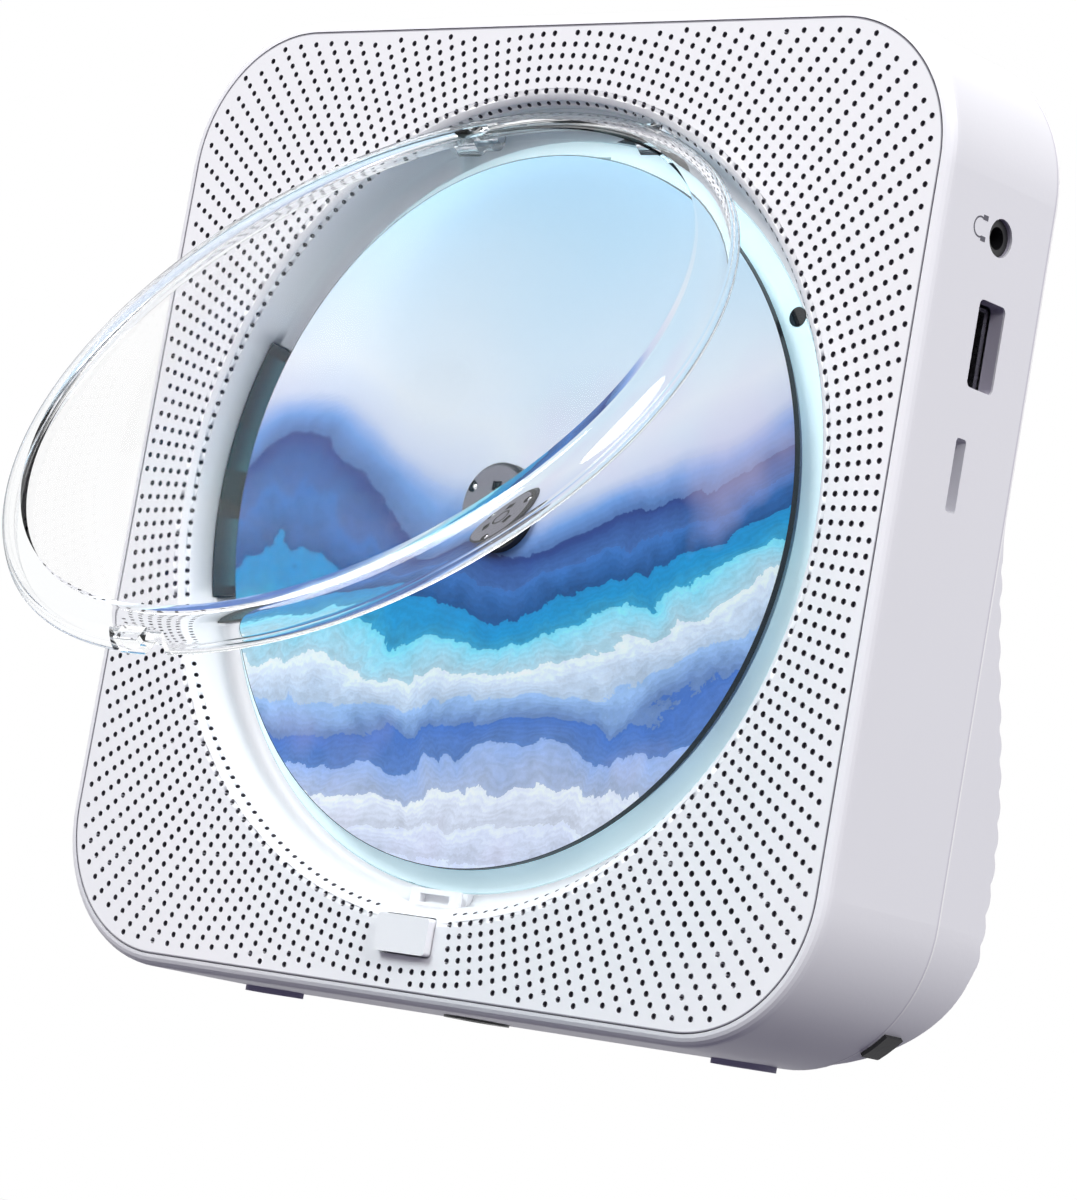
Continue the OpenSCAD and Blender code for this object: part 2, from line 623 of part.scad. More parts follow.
// Plate that carries the drive, hung on four soft grommets
module chassis() {
    rod_low = lens_z - 14.5;
    rod_high = lens_z + sled_travel + 11;
    color("#3c4046") placed() difference() {
        union() {
            block(-32, 46, chassis_y, chassis_y + chassis_t, -20, 72);
            for (x = [-1, 1], z = [rod_low - 1.5, rod_high + 1.5])
                block(x * rod_x - 2.7, x * rod_x + 2.7, rod_y - 1.9, chassis_y + 0.5, z - 1.5, z + 1.5);
            disc_at(gear_x, gear_z, rack_y, chassis_y + 0.5, 1);
            disc_at(gear_x, gear_z, rack_y + 2.2, chassis_y + 0.5, 2);
        }
        block(-rod_x - 4.6, rod_x + 4.6, 0, 40, rod_low, rod_high);
        disc_at(0, 0, 0, 40, 3);
        disc_at(pinion_x, pinion_z, 0, 40, 1.5);
        for (p = grommet_places) disc_at(p[0], p[1], 0, 40, 3);
        for (x = [-1, 1]) disc_at(x * rod_x, rod_low - 40, 0, 1, 1);
        for (x = [-1, 1]) translate([x * rod_x, rod_y, rod_low - 3]) cylinder(d = rod_d + 0.04, h = rod_high - rod_low + 6);
        for (x = [-1, 1]) disc_at(x * 8.5, 0, 0, 40, 1.05);
    }
}

module grommets() {
    color("#2b2b2e") placed() for (p = grommet_places) into(deck_back + 0.02) translate([p[0], p[1], 0])
        rotate_extrude() polygon([[1.65, 0], [4, 0.4], [4, chassis_y - deck_back - 0.1], [2.9, chassis_y - deck_back - 0.1],
            [2.9, chassis_y - deck_back + chassis_t + 0.06], [4, chassis_y - deck_back + chassis_t + 0.06],
            [4, chassis_y - deck_back + 2.9], [1.65, chassis_y - deck_back + 2.9]]);
}

module chassis_screws() {
    color("#a9adb3") placed() for (p = grommet_places) screw(p[0], p[1], chassis_y + 3, 0.8, 4.6, 2.8);
}

module spindle_motor() {
    color("#b4b8be") placed() difference() {
        union() {
            disc_at(0, 0, chassis_y + chassis_t, chassis_y + chassis_t + 7.4, 12);
            disc_at(0, 0, chassis_y - 0.6, chassis_y + chassis_t + 1, 2.9);
        }
        disc_at(0, 0, 0, chassis_y + chassis_t + 6, 1 + run_gap);
    }
}

module guide_rods() {
    rod_low = lens_z - 14.5;
    rod_high = lens_z + sled_travel + 11;
    color("#d4d7db") placed() for (x = [-1, 1])
        translate([x * rod_x, rod_y, rod_low - 2.9]) cylinder(d = rod_d, h = rod_high - rod_low + 5.8);
}

module sled_motor() {
    color("#b4b8be") placed() difference() {
        disc_at(pinion_x, pinion_z, chassis_y + chassis_t, chassis_y + chassis_t + 7.2, 7.6);
        disc_at(pinion_x, pinion_z, 0, chassis_y + chassis_t + 6, 0.8 + run_gap);
    }
}

module hinge_pins() {
    color("#c8ccd2") placed() for (x = [-1, 1]) translate([x * knuckle_x, hinge_y, hinge_z]) rotate([0, 90, 0])
        translate([0, 0, x > 0 ? -knuckle_w / 2 - 1 : -knuckle_w / 2 - 3.5 - pocket_wall])
            cylinder(d = pin_d, h = knuckle_w + 4.5 + pocket_wall);
}

// Block at the foot of the well's wall that the lid's tab snaps into
module lid_catch() {
    color("#f1f2f5") placed() difference() {
        block(-catch_w / 2, catch_w / 2, catch_y, ledge_y, -catch_out, -catch_out + 3.1);
        block(-3.2, 3.2, catch_y - 1, catch_y + 1.4, -catch_out + 0.8, -catch_out + 2.2);
        block(catch_w / 2 - 1.1, catch_w / 2 + 1, catch_y + 0.8, catch_y + 2, -catch_out + 0.9, -catch_out + 4);
    }
}

// Return spring behind the lid button
module latch_spring() {
    color("#c8ccd2") placed() into(latch_back + 0.02) translate([0, latch_z, 0]) difference() {
        cylinder(r = 2.3, h = deck_y - latch_back - 0.04);
        translate([0, 0, -1]) cylinder(r = 1.8, h = 20);
    }
}

module key_board() {
    color("#1f5f3a") placed() {
        block(-50, 50, key_y - 4.5, key_y + 4.5, key_floor - 6.2, key_floor - 4.6);
        for (i = [0:5]) translate([(i - 2.5) * key_pitch, key_y, key_floor - 4.61]) {
            translate([-3, -3, 0]) cube([6, 6, 2.2]);
            cylinder(r = 1.7, h = 2.6);
        }
    }
}

module key_place(i) translate([(i - (key_count - 1) / 2) * key_pitch, key_y, body_h / 2]) children();

module top_key(i) {
    color("#e2e4e9") placed() key_place(i) {
        translate([0, 0, -wall - 0.5]) linear_extrude(wall + 0.5 + key_rise) round_rect(key_l, key_w, key_w / 2 - face_gap);
        translate([0, 0, -wall - 1.2]) linear_extrude(1) round_rect(key_l + 1.6, key_w + 1.6, key_w / 2);
    }
}
module key_1() if (key_count >= 1) top_key(0);
module key_2() if (key_count >= 2) top_key(1);
module key_3() if (key_count >= 3) top_key(2);
module key_4() if (key_count >= 4) top_key(3);
module key_5() if (key_count >= 5) top_key(4);
module key_6() if (key_count >= 6) top_key(5);

// Turning plate and hub that hold the disc by its hole
module turntable() {
    color("#8c8990") placed() difference() {
        union() {
            disc_at(0, 0, plate_y, plate_y + 1.5, plate_r);
            disc_at(0, 0, hub_top + 0.8, plate_y + 1, hub_r);
            into(hub_top) rotate_extrude() polygon([[0, 0], [hub_r - 0.8, 0], [hub_r, 0.8], [hub_r, 1], [0, 1]]);
            disc_at(0, 0, plate_y, deck_back + 1.4, 3.4);
            disc_at(0, 0, hub_top + 1, chassis_y + chassis_t + 5.6, 1);
        }
        for (a = [0:120:240]) into(hub_top - 1) rotate(a + 30) translate([hub_r - 1.35, 0, 0]) cylinder(r = 1, h = 3.2);
        for (a = [0:120:240]) into(hub_top - 1) rotate(a + 90) translate([2.6, -1, 0]) cube([1.5, 2, 1.8]);
        into(hub_top - 1) difference() {
            cylinder(r = 2, h = 1.4);
            translate([0, 0, -1]) cylinder(r = 1.5, h = 4);
        }
    }
}

module hub_balls() {
    color("#d9dce0") placed() for (a = [0:120:240]) into(hub_top + 1.3) rotate(a + 30) translate([hub_r - 1.35, 0, 0]) sphere(r = 0.9);
}

module disc() {
    color("#86c4ea") placed() difference() {
        disc_at(0, 0, disc_y, disc_y + disc_t, disc_d / 2);
        disc_at(0, 0, disc_y - 1, disc_y + disc_t + 1, disc_hole_d / 2);
    }
}

// Sled on two rods that moves the lens across the disc
module pickup_sled() {
    color("#33363c") placed() difference() {
        union() {
            block(-sled_w / 2, sled_w / 2, rod_y - 2.4, chassis_y + 3, lens_z - sled_half, lens_z + sled_half);
            block(-5.5, 5.5, plate_y + 2.7, rod_y, lens_z - 4.4, lens_z + 4.4);
        }
        for (x = [-1, 1]) translate([x * rod_x, rod_y, lens_z - 20]) cylinder(d = rod_d + 2 * run_gap, h = 40);
        block(-rod_x + 4, -7, 0, rod_y + 1, lens_z - 6, lens_z + 6);
        block(7, rod_x - 4, 0, rod_y + 1, lens_z - 6, lens_z + 6);
        disc_at(0, lens_z, 0, plate_y + 5, 2.05);
    }
}

module pickup_lens() {
    color("#7fb4d8") placed() into(plate_y + 1.7) translate([0, lens_z, 0])
        rotate_extrude() polygon([[0, 0], [0.9, 0.12], [1.7, 0.5], [2, 0.8], [2, 3.25], [0, 3.25]]);
}

// Toothed rack on the side of the sled; its tooth count covers the travel
rack_pitch = PI * tooth_m;
rack_teeth = ceil((sled_travel + 4) / rack_pitch) + 1;
rack_top = gear_z + 1.5 * rack_pitch;
module sled_rack() {
    tip = tooth_m * 0.9;
    root = tooth_m * 1.25;
    half = rack_pitch / 4 - 0.06;
    spine = rack_x - root - sled_w / 2;
    color("#e8e3d4") placed() into(rack_y) linear_extrude(rack_t) {
        translate([sled_w / 2, rack_top - (rack_teeth - 0.3) * rack_pitch]) square([spine, rack_teeth * rack_pitch]);
        for (i = [0:rack_teeth - 1]) translate([rack_x, rack_top - i * rack_pitch])
            polygon([[-root - 0.01, -half - root * tan(20)], [tip, -half + tip * tan(20)],
                [tip, half - tip * tan(20)], [-root - 0.01, half + root * tan(20)]]);
    }
}

// Involute gear outline, with a little play at the flanks
function involute(base_r, t) = [base_r * (cos(t) + t * PI / 180 * sin(t)), base_r * (sin(t) - t * PI / 180 * cos(t))];
module gear_outline(teeth) {
    pitch_r = tooth_m * teeth / 2;
    base_r = pitch_r * cos(20);
    tip_r = pitch_r + tooth_m * 0.9;
    root_r = pitch_r - tooth_m * 1.2;
    t_pitch = sqrt(pow(pitch_r / base_r, 2) - 1) * 180 / PI;
    t_tip = sqrt(pow(tip_r / base_r, 2) - 1) * 180 / PI;
    p_pitch = involute(base_r, t_pitch);
    half = 90 / teeth - 0.06 / pitch_r * 180 / PI + atan2(p_pitch[1], p_pitch[0]);
    circle(root_r + 0.02);
    for (i = [0:teeth - 1]) rotate(i * 360 / teeth) polygon(concat([[root_r - 0.3, -1.2 * root_r * sin(90 / teeth)]],
        [for (k = [0:4]) let (p = involute(base_r, t_tip * k / 4), a = atan2(p[1], p[0]) - half) norm(p) * [cos(a), sin(a)]],
        [for (k = [4:-1:0]) let (p = involute(base_r, t_tip * k / 4), a = half - atan2(p[1], p[0])) norm(p) * [cos(a), sin(a)]],
        [[root_r - 0.3, 1.2 * root_r * sin(90 / teeth)]]));
}

module sled_gear() {
    color("#efe9d8") placed() into(rack_y) translate([gear_x, gear_z, 0]) difference() {
        linear_extrude(rack_t) rotate(180) gear_outline(gear_teeth);
        translate([0, 0, -1]) cylinder(r = 1 + run_gap, h = 6);
        for (a = [0:60:300]) rotate(a) translate([5, 0, -1]) cylinder(r = 1.5, h = 6);
    }
}

module motor_pinion() {
    color("#efe9d8") placed() {
        into(rack_y) translate([pinion_x, pinion_z, 0]) rotate(pinion_phase) linear_extrude(rack_t + 0.4) gear_outline(pinion_teeth);
        disc_at(pinion_x, pinion_z, rack_y + rack_t, chassis_y + chassis_t + 5.6, 0.8);
    }
}
pinion_phase = pinion_turn + 180 + 180 / pinion_teeth + (pinion_turn - 180) * gear_teeth / pinion_teeth;

// Clear dished lid, drawn shut and then turned open about its hinge
module lid_shut() {
    fillet = 5.5;
    front = lid_rim_y - lid_rise;
    knuckle_z = hinge_z;
    difference() {
        union() {
            into(0) rotate_extrude($fn = 120) polygon(concat([[lid_r, lid_rim_y]],
                arc(lid_r - fillet, front + fillet, fillet, 0, -90, 8),
                [for (i = [1:6]) [(lid_r - fillet) * (1 - i / 6), front - lid_crown * (1 - pow(1 - i / 6, 2))]],
                [for (i = [6:-1:1]) [(lid_r - fillet) * (1 - i / 6), front + lid_t - lid_crown * (1 - pow(1 - i / 6, 2))]],
                arc(lid_r - fillet, front + fillet, fillet - lid_t, -90, 0, 8), [[lid_r - lid_t, lid_rim_y]]));
            for (x = [-1, 1]) {
                translate([x * knuckle_x - knuckle_w / 2, hinge_y, knuckle_z]) rotate([0, 90, 0]) cylinder(r = knuckle_r, h = knuckle_w);
                block(x * knuckle_x - knuckle_w / 2, x * knuckle_x + knuckle_w / 2, 2.6, hinge_y, lid_r - 6, lid_r - 2.8);
            }
            block(-2.6, 2.6, front + 1.2, lid_rim_y - 1.3, -lid_r - 0.8, -lid_r + 2);
        }
        for (x = [-1, 1]) translate([x * knuckle_x - knuckle_w, hinge_y, knuckle_z]) rotate([0, 90, 0])
            cylinder(d = pin_d + 2 * run_gap, h = 2 * knuckle_w);
        for (x = [-1, 1]) block(min(x * 2.6, x * 5.7), max(x * 2.6, x * 5.7), 1.2, 8, -lid_r - 1.4, -lid_r + 2);
        block(-5.7, 5.7, lid_rim_y - 1.3, 8, -lid_r - 1.4, -lid_r + 2);
    }
}

module lid() {
    color("#dff3fb", 0.35) placed() translate([0, hinge_y, hinge_z]) rotate([-lid_open, 0, 0])
        translate([0, -hinge_y, -hinge_z]) lid_shut();
}

module latch_button() {
    color("#f1f2f5") placed() {
        into(-latch_rise) translate([0, latch_z, 0]) linear_extrude(latch_rise + latch_back) round_rect(latch_w, latch_h, 0.7);
        block(-latch_w / 2 - 1.5, latch_w / 2 + 1.5, face_t + 0.05, latch_back, latch_z - latch_h / 2 - 1.4, -roll_start - 1);
        disc_at(0, latch_z, 2, latch_back + 2.6, 1.6);
    }
}

front_housing();
grille_panel();
light_ring();
led_ring();
display_window();
display_module();
ir_window();
deck();
deck_screws();
rear_cover();
cover_screws();
rear_bulge();
bulge_screws();
battery_pack();
feet();
corner_pads();
main_board();
capacitors();
board_screws();
io_board();
headphone_jack();
usb_socket();
card_socket();
power_inlet();
speaker_left();
speaker_right();
cone_left();
cone_right();
chassis();
grommets();
chassis_screws();
spindle_motor();
guide_rods();
sled_motor();
hinge_pins();
lid_catch();
latch_spring();
key_board();
turntable();
hub_balls();
disc();
pickup_sled();
pickup_lens();
sled_rack();
sled_gear();
motor_pinion();
lid();
latch_button();
key_1();
key_2();
key_3();
key_4();
key_5();
key_6();
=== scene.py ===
from math import cos, hypot, pi, radians, sin

import bmesh
import bpy
import numpy as np
from mathutils import Matrix, Vector


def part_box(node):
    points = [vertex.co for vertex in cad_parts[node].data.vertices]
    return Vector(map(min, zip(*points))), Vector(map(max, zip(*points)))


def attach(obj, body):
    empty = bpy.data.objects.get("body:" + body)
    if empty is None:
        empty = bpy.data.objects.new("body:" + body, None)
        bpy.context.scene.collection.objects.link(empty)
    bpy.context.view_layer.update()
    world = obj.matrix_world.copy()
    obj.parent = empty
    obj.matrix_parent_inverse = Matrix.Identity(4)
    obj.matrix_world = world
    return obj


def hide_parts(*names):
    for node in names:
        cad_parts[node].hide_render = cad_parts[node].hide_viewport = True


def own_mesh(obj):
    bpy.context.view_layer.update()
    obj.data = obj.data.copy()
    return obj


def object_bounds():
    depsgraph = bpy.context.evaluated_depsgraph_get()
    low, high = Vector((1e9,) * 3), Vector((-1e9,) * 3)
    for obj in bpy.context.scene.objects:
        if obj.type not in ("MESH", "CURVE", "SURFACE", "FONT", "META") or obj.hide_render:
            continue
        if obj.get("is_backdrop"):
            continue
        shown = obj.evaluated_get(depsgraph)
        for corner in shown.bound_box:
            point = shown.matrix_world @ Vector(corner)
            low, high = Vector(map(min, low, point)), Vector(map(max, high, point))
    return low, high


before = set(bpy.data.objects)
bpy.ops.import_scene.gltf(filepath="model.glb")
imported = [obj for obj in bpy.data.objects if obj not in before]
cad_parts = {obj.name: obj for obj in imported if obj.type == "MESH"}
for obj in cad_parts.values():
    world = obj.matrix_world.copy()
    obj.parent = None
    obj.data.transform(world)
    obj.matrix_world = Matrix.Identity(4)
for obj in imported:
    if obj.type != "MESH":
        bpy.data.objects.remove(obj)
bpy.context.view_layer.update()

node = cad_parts
scene = bpy.context.scene
scene.view_settings.view_transform = "Standard"

LENS_MM, SENSOR_MM, FARTHEST = 140.32, 36, 50
CAMERA_SPOT = (0.510438, -0.591796, -0.151351)
CAMERA_BACK = (0.6566, -0.7460, -0.1113)
CAMERA_RIGHT = (0.7521, 0.6364, 0.1714)

eye = bpy.data.cameras.new("camera")
eye.lens = LENS_MM
eye.sensor_width = SENSOR_MM
eye.clip_end = FARTHEST
camera = bpy.data.objects.new("camera", eye)
scene.collection.objects.link(camera)
back = Vector(CAMERA_BACK).normalized()
right = Vector(CAMERA_RIGHT)
right = (right - back * right.dot(back)).normalized()
turn = Matrix((right, back.cross(right), back)).transposed()
camera.matrix_world = Matrix.Translation(CAMERA_SPOT) @ turn.to_4x4()
scene.camera = camera


# Studio. White surroundings and a pale floor well below the hung player, one large soft lamp at the
# upper left of its front and a weaker one on its right; the floor keeps a faint shadow.
def linear(r, g, b):
    """A colour as seen on a screen, 0 to 255, as the linear one that shaders take."""
    return tuple(((v / 255 + 0.055) / 1.055) ** 2.4 if v > 10 else v / 255 / 12.92
                 for v in (r, g, b)) + (1,)


def maker(tree):
    """A function that adds one node; sockets go by name, or by index as at0, at1 and so on."""
    def add(kind, setting=None, **sockets):
        made = tree.nodes.new(kind)
        for name, value in (setting or {}).items():
            setattr(made, name, value)
        for name, value in sockets.items():
            index = name[2:] if name.startswith("at") and name[2:].isdigit() else None
            socket = made.inputs[int(index)] if index else made.inputs[name.replace("_", " ")]
            if isinstance(value, bpy.types.NodeSocket):
                tree.links.new(value, socket)
            else:
                socket.default_value = value
        return made

    return add


def math_of(add, operation, a, b=0.0, c=0.0):
    return add("ShaderNodeMath", {"operation": operation}, at0=a, at1=b, at2=c).outputs[0]


def blend_of(add, factor, a, b):
    made = add("ShaderNodeMix", {"data_type": "RGBA"}, at0=factor, at6=a, at7=b)
    return made.outputs[2]


def seen_directly(add):
    """1 where the camera sees a surface straight, mirrored or through clear plastic, else 0."""
    path = add("ShaderNodeLightPath")
    seen = math_of(add, "MAXIMUM", path.outputs["Is Camera Ray"], path.outputs["Is Glossy Ray"])
    seen = math_of(add, "MAXIMUM", seen, path.outputs["Is Transmission Ray"])
    return math_of(add, "MULTIPLY", seen, math_of(add, "LESS_THAN", path.outputs["Diffuse Depth"], 0.5))


world = bpy.data.worlds.new("studio")
scene.world = world
world.use_nodes = True
world.node_tree.nodes.clear()
add = maker(world.node_tree)
seen = seen_directly(add)
place = add("ShaderNodeTexCoord")
split = add("ShaderNodeSeparateXYZ", Vector=place.outputs["Generated"])
height = add("ShaderNodeMapRange", Value=split.outputs["Z"], From_Min=-0.48, From_Max=0.74)
ambient = blend_of(add, height.outputs[0], linear(26, 22, 38), linear(212, 212, 215))
colour = blend_of(add, seen, ambient, (1, 1, 1, 1))
sky = add("ShaderNodeBackground", Color=colour, Strength=1.0)
add("ShaderNodeOutputWorld", Surface=sky.outputs[0])

FLOOR_HALF, FLOOR_Z, FLOOR_GLOW = 6, -0.45, 0.72
floor_mesh = bpy.data.meshes.new("floor")
floor_corners = [(x * FLOOR_HALF, y * FLOOR_HALF, FLOOR_Z) for x, y in ((-1, -1), (1, -1), (1, 1), (-1, 1))]
floor_mesh.from_pydata(floor_corners, [], [(0, 1, 2, 3)])
floor = bpy.data.objects.new("floor", floor_mesh)
scene.collection.objects.link(floor)
floor_paint = bpy.data.materials.new("floor_paint")
floor_paint.use_nodes = True
floor_paint.node_tree.nodes.clear()
add = maker(floor_paint.node_tree)
seen = seen_directly(add)
soft = add("ShaderNodeTexNoise", Scale=3.0, Detail=2.0)
tone = blend_of(add, soft.outputs[0], linear(52, 47, 70), linear(58, 53, 76))
tone = blend_of(add, seen, tone, linear(250, 250, 252))
paint = add("ShaderNodeBsdfDiffuse", Color=tone)
glow = add("ShaderNodeEmission", Color=(1, 1, 1, 1), Strength=1.0)
share = math_of(add, "MULTIPLY", seen, FLOOR_GLOW)
mixed = add("ShaderNodeMixShader", at0=share, at1=paint.outputs[0], at2=glow.outputs[0])
add("ShaderNodeOutputMaterial", Surface=mixed.outputs[0])
floor_mesh.materials.append(floor_paint)
floor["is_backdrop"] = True


def lamp(name, spot, target, size, power, tint):
    light = bpy.data.lights.new(name, "AREA")
    light.shape = "DISK"
    light.size = size
    light.energy = power
    light.color = tint
    made = bpy.data.objects.new(name, light)
    scene.collection.objects.link(made)
    aim = Vector(target) - Vector(spot)
    made.matrix_world = Matrix.Translation(spot) @ aim.to_track_quat("-Z", "Y").to_matrix().to_4x4()


lamp("key_lamp", (-1.22, -2.79, 2.44), (0, 0, -0.05), 1.92, 121.0, (1.0, 0.995, 0.985))
lamp("side_lamp", (1.8, -0.5, 1.1), (0.05, 0, -0.03), 1.2, 31.0, (1.0, 0.99, 1.0))


# Moulded plastic. Every plastic part is injection moulded in a lightly spark-eroded tool, which leaves
# a fine grain, small changes of gloss and a slightly uneven tone; each material sets its own amounts.
def group_of(name, inputs, outputs):
    """A new node group, a function that adds nodes to it, and its input and output sockets."""
    made = bpy.data.node_groups.new(name, "ShaderNodeTree")
    for label, kind, value in inputs:
        socket = made.interface.new_socket(label, in_out="INPUT", socket_type="NodeSocket" + kind)
        if value is not None:
            socket.default_value = value
    for label, kind in outputs:
        made.interface.new_socket(label, in_out="OUTPUT", socket_type="NodeSocket" + kind)
    plus = maker(made)
    return made, plus, plus("NodeGroupInput").outputs, plus("NodeGroupOutput")


def point_of(add):
    return add("ShaderNodeTexCoord").outputs["Object"]


def centred_on(add, value, middle=0.5):
    return math_of(add, "SUBTRACT", value, middle)


moulded, add, given, out = group_of(
    "moulded_grain",
    [("Tone", "Color", (0.8, 0.8, 0.8, 1)), ("Polish", "Float", 0.45), ("Grain size", "Float", 900.0),
     ("Grain depth", "Float", 0.1), ("Mottle", "Float", 0.03)],
    [("Tone", "Color"), ("Polish", "Float"), ("Normal", "Vector")],
)
place = point_of(add)
grain = add("ShaderNodeTexNoise", Vector=place, Scale=given["Grain size"], Detail=3.0)
cloud = add("ShaderNodeTexNoise", Vector=place, Scale=22.0, Detail=4.0)
raised = add("ShaderNodeBump", Height=grain.outputs[0], Strength=given["Grain depth"], Distance=0.0001)
shift = centred_on(add, cloud.outputs[0])
gain = math_of(add, "MULTIPLY_ADD", shift, given["Mottle"], 1.0)
toned = add("ShaderNodeVectorMath", {"operation": "SCALE"}, at0=given["Tone"], Scale=gain)
gloss = math_of(add, "MULTIPLY_ADD", shift, 0.12, given["Polish"])
gloss = math_of(add, "MULTIPLY_ADD", centred_on(add, grain.outputs[0]), 0.08, gloss)
for label, value in (("Tone", toned.outputs[0]), ("Polish", gloss), ("Normal", raised.outputs[0])):
    moulded.links.new(value, out.inputs[label])


def principled(name, **fixed):
    made = bpy.data.materials.new(name)
    made.use_nodes = True
    made.node_tree.nodes.clear()
    plus = maker(made.node_tree)
    shader = plus("ShaderNodeBsdfPrincipled", **fixed)
    plus("ShaderNodeOutputMaterial", Surface=shader.outputs[0])
    return made, plus, shader


def feel_of(material, plus, shader, group, amounts):
    """The group's node in a material, with its amounts set and its outputs linked to the shader."""
    feel = plus("ShaderNodeGroup", {"node_tree": group})
    for label, value in amounts.items():
        feel.inputs[label].default_value = value
    for label, socket in (("Tone", "Base Color"), ("Polish", "Roughness"), ("Normal", "Normal")):
        material.node_tree.links.new(feel.outputs[label], shader.inputs[socket])
    return feel


def plastic(name, tone, polish, grain, depth, mottle, **fixed):
    made, plus, shader = principled(name, **fixed)
    feel = feel_of(made, plus, shader, moulded, {
        "Tone": tone, "Polish": polish, "Grain size": grain, "Grain depth": depth, "Mottle": mottle})
    return made, plus, feel


def dress(material, *names):
    """One material for CAD nodes that are shown as they are."""
    for name in names:
        node[name].data.materials.clear()
        node[name].data.materials.append(material)


# Housing, rear cover and bulge. White moulded plastic: the casing, a flat plate with two keyholes and
# air slots, and a ribbed hollow bulge for the battery. The recess of the side sockets is greyer inside,
# painted shade, and the seam between casing and plate shows as a painted white highlight beside a thin
# band of painted shade for a groove.
FRONT_Y, AXIS_Z = 29.5, 52  # mm from the origin to the front sheet's plane and down to the disc's axis
AXIS = (0, 0, -AXIS_Z / 1000)


def at(x, y, z):
    """Millimetres from the disc's axis and the front sheet's plane as metres in the frame."""
    return Vector((x, y - FRONT_Y, z - AXIS_Z)) / 1000


def axes_of(add, vector):
    return add("ShaderNodeSeparateXYZ", Vector=vector).outputs


RECESS_X = (0.0795, 0.08265)
RECESS_Z = (-0.0292, 0.0022)
RECESS_Y, RECESS_HALF = -0.0126, 0.0048
HIGHLIGHT_Y, HIGHLIGHT_HALF = -0.00015, 0.00017
GROOVE_SHADE_Y, GROOVE_SHADE_HALF = -0.00052, 0.0002

white = linear(238, 238, 242)
body_white, add, feel = plastic("body_white", white, 0.42, 1300.0, 0.12, 0.03, Specular_IOR_Level=0.35)
part_xyz = axes_of(add, point_of(add))
# Painted shade: inside the socket recess the white turns greyer, as the recess is shaded.
inside = math_of(add, "LESS_THAN", part_xyz["X"], RECESS_X[1])
low = math_of(add, "GREATER_THAN", part_xyz["Z"], RECESS_Z[0])
high = math_of(add, "LESS_THAN", part_xyz["Z"], RECESS_Z[1])
wide = math_of(add, "GREATER_THAN", part_xyz["X"], RECESS_X[0])
deep = math_of(add, "COMPARE", part_xyz["Y"], RECESS_Y, RECESS_HALF)
recess_shade = math_of(add, "MULTIPLY", math_of(add, "MULTIPLY", inside, wide), deep)
recess_shade = math_of(add, "MULTIPLY", recess_shade, math_of(add, "MULTIPLY", low, high))
tone = blend_of(add, recess_shade, white, linear(186, 182, 196))
# Painted highlight: a white line along the casing's back rim at the seam, and beside it a thin line of
# painted shade for a groove.
edge = math_of(add, "COMPARE", part_xyz["Y"], HIGHLIGHT_Y, HIGHLIGHT_HALF)
groove_shade = math_of(add, "COMPARE", part_xyz["Y"], GROOVE_SHADE_Y, GROOVE_SHADE_HALF)
tone = blend_of(add, edge, tone, linear(255, 255, 255))
tone = blend_of(add, groove_shade, tone, linear(216, 214, 222))
body_white.node_tree.links.new(tone, feel.inputs["Tone"])
dress(body_white, "front_housing", "rear_cover", "rear_bulge")

# Feet, pads and battery. Two soft pale feet are glued under the housing, two thin black pads cover the
# bulge's lower corners, and the battery in its blue shrink sleeve lies in the bulge.
soft_pale, _, _ = plastic("soft_grey_rubber", linear(218, 217, 226), 0.75, 1500.0, 0.3, 0.08)
black_pad, _, _ = plastic("black_pad", linear(26, 26, 29), 0.7, 1800.0, 0.35, 0.2)
sleeve, _, _ = plastic("battery_sleeve", linear(52, 92, 168), 0.28, 300.0, 0.25, 0.15)
dress(soft_pale, "feet")
dress(black_pad, "corner_pads", "grommets")
dress(sleeve, "battery_pack")


# Screws, rods, pins, balls, motor cans and the USB shell. Plated or turned steel with fine turning
# marks; the screws hold covers, boards and the disc drive, the rods guide the pickup.
turned, add, given, out = group_of(
    "turned_steel",
    [("Tone", "Color", (0.6, 0.6, 0.62, 1)), ("Polish", "Float", 0.3), ("Mark size", "Float", 2500.0)],
    [("Tone", "Color"), ("Polish", "Float"), ("Normal", "Vector")],
)
place = point_of(add)
marks = add("ShaderNodeTexNoise", Vector=place, Scale=given["Mark size"], Detail=4.0)
stain = add("ShaderNodeTexNoise", Vector=place, Scale=160.0, Detail=3.0)
tone = add("ShaderNodeHueSaturation", Color=given["Tone"],
           Value=math_of(add, "MULTIPLY_ADD", stain.outputs[0], 0.3, 0.85))
gloss = math_of(add, "MULTIPLY_ADD", centred_on(add, marks.outputs[0]), 0.25, given["Polish"])
raised = add("ShaderNodeBump", Height=marks.outputs[0], Strength=0.15, Distance=0.00005)
for label, value in (("Tone", tone.outputs[0]), ("Polish", gloss), ("Normal", raised.outputs[0])):
    turned.links.new(value, out.inputs[label])


def metal(name, tone, polish, marks=2500.0):
    made, plus, shader = principled(name, Metallic=1.0)
    feel_of(made, plus, shader, turned, {"Tone": tone, "Polish": polish, "Mark size": marks})
    return made


dress(metal("plated_screw", linear(170, 172, 176), 0.32), "cover_screws", "bulge_screws", "board_screws",
      "deck_screws", "chassis_screws")
bright_steel = metal("bright_rod", linear(205, 207, 212), 0.16)
dress(bright_steel, "guide_rods", "hinge_pins", "hub_balls")
dress(metal("motor_can", linear(176, 179, 184), 0.38, 1500.0), "spindle_motor", "sled_motor")
dress(metal("socket_shell", linear(150, 150, 156), 0.3), "usb_socket")

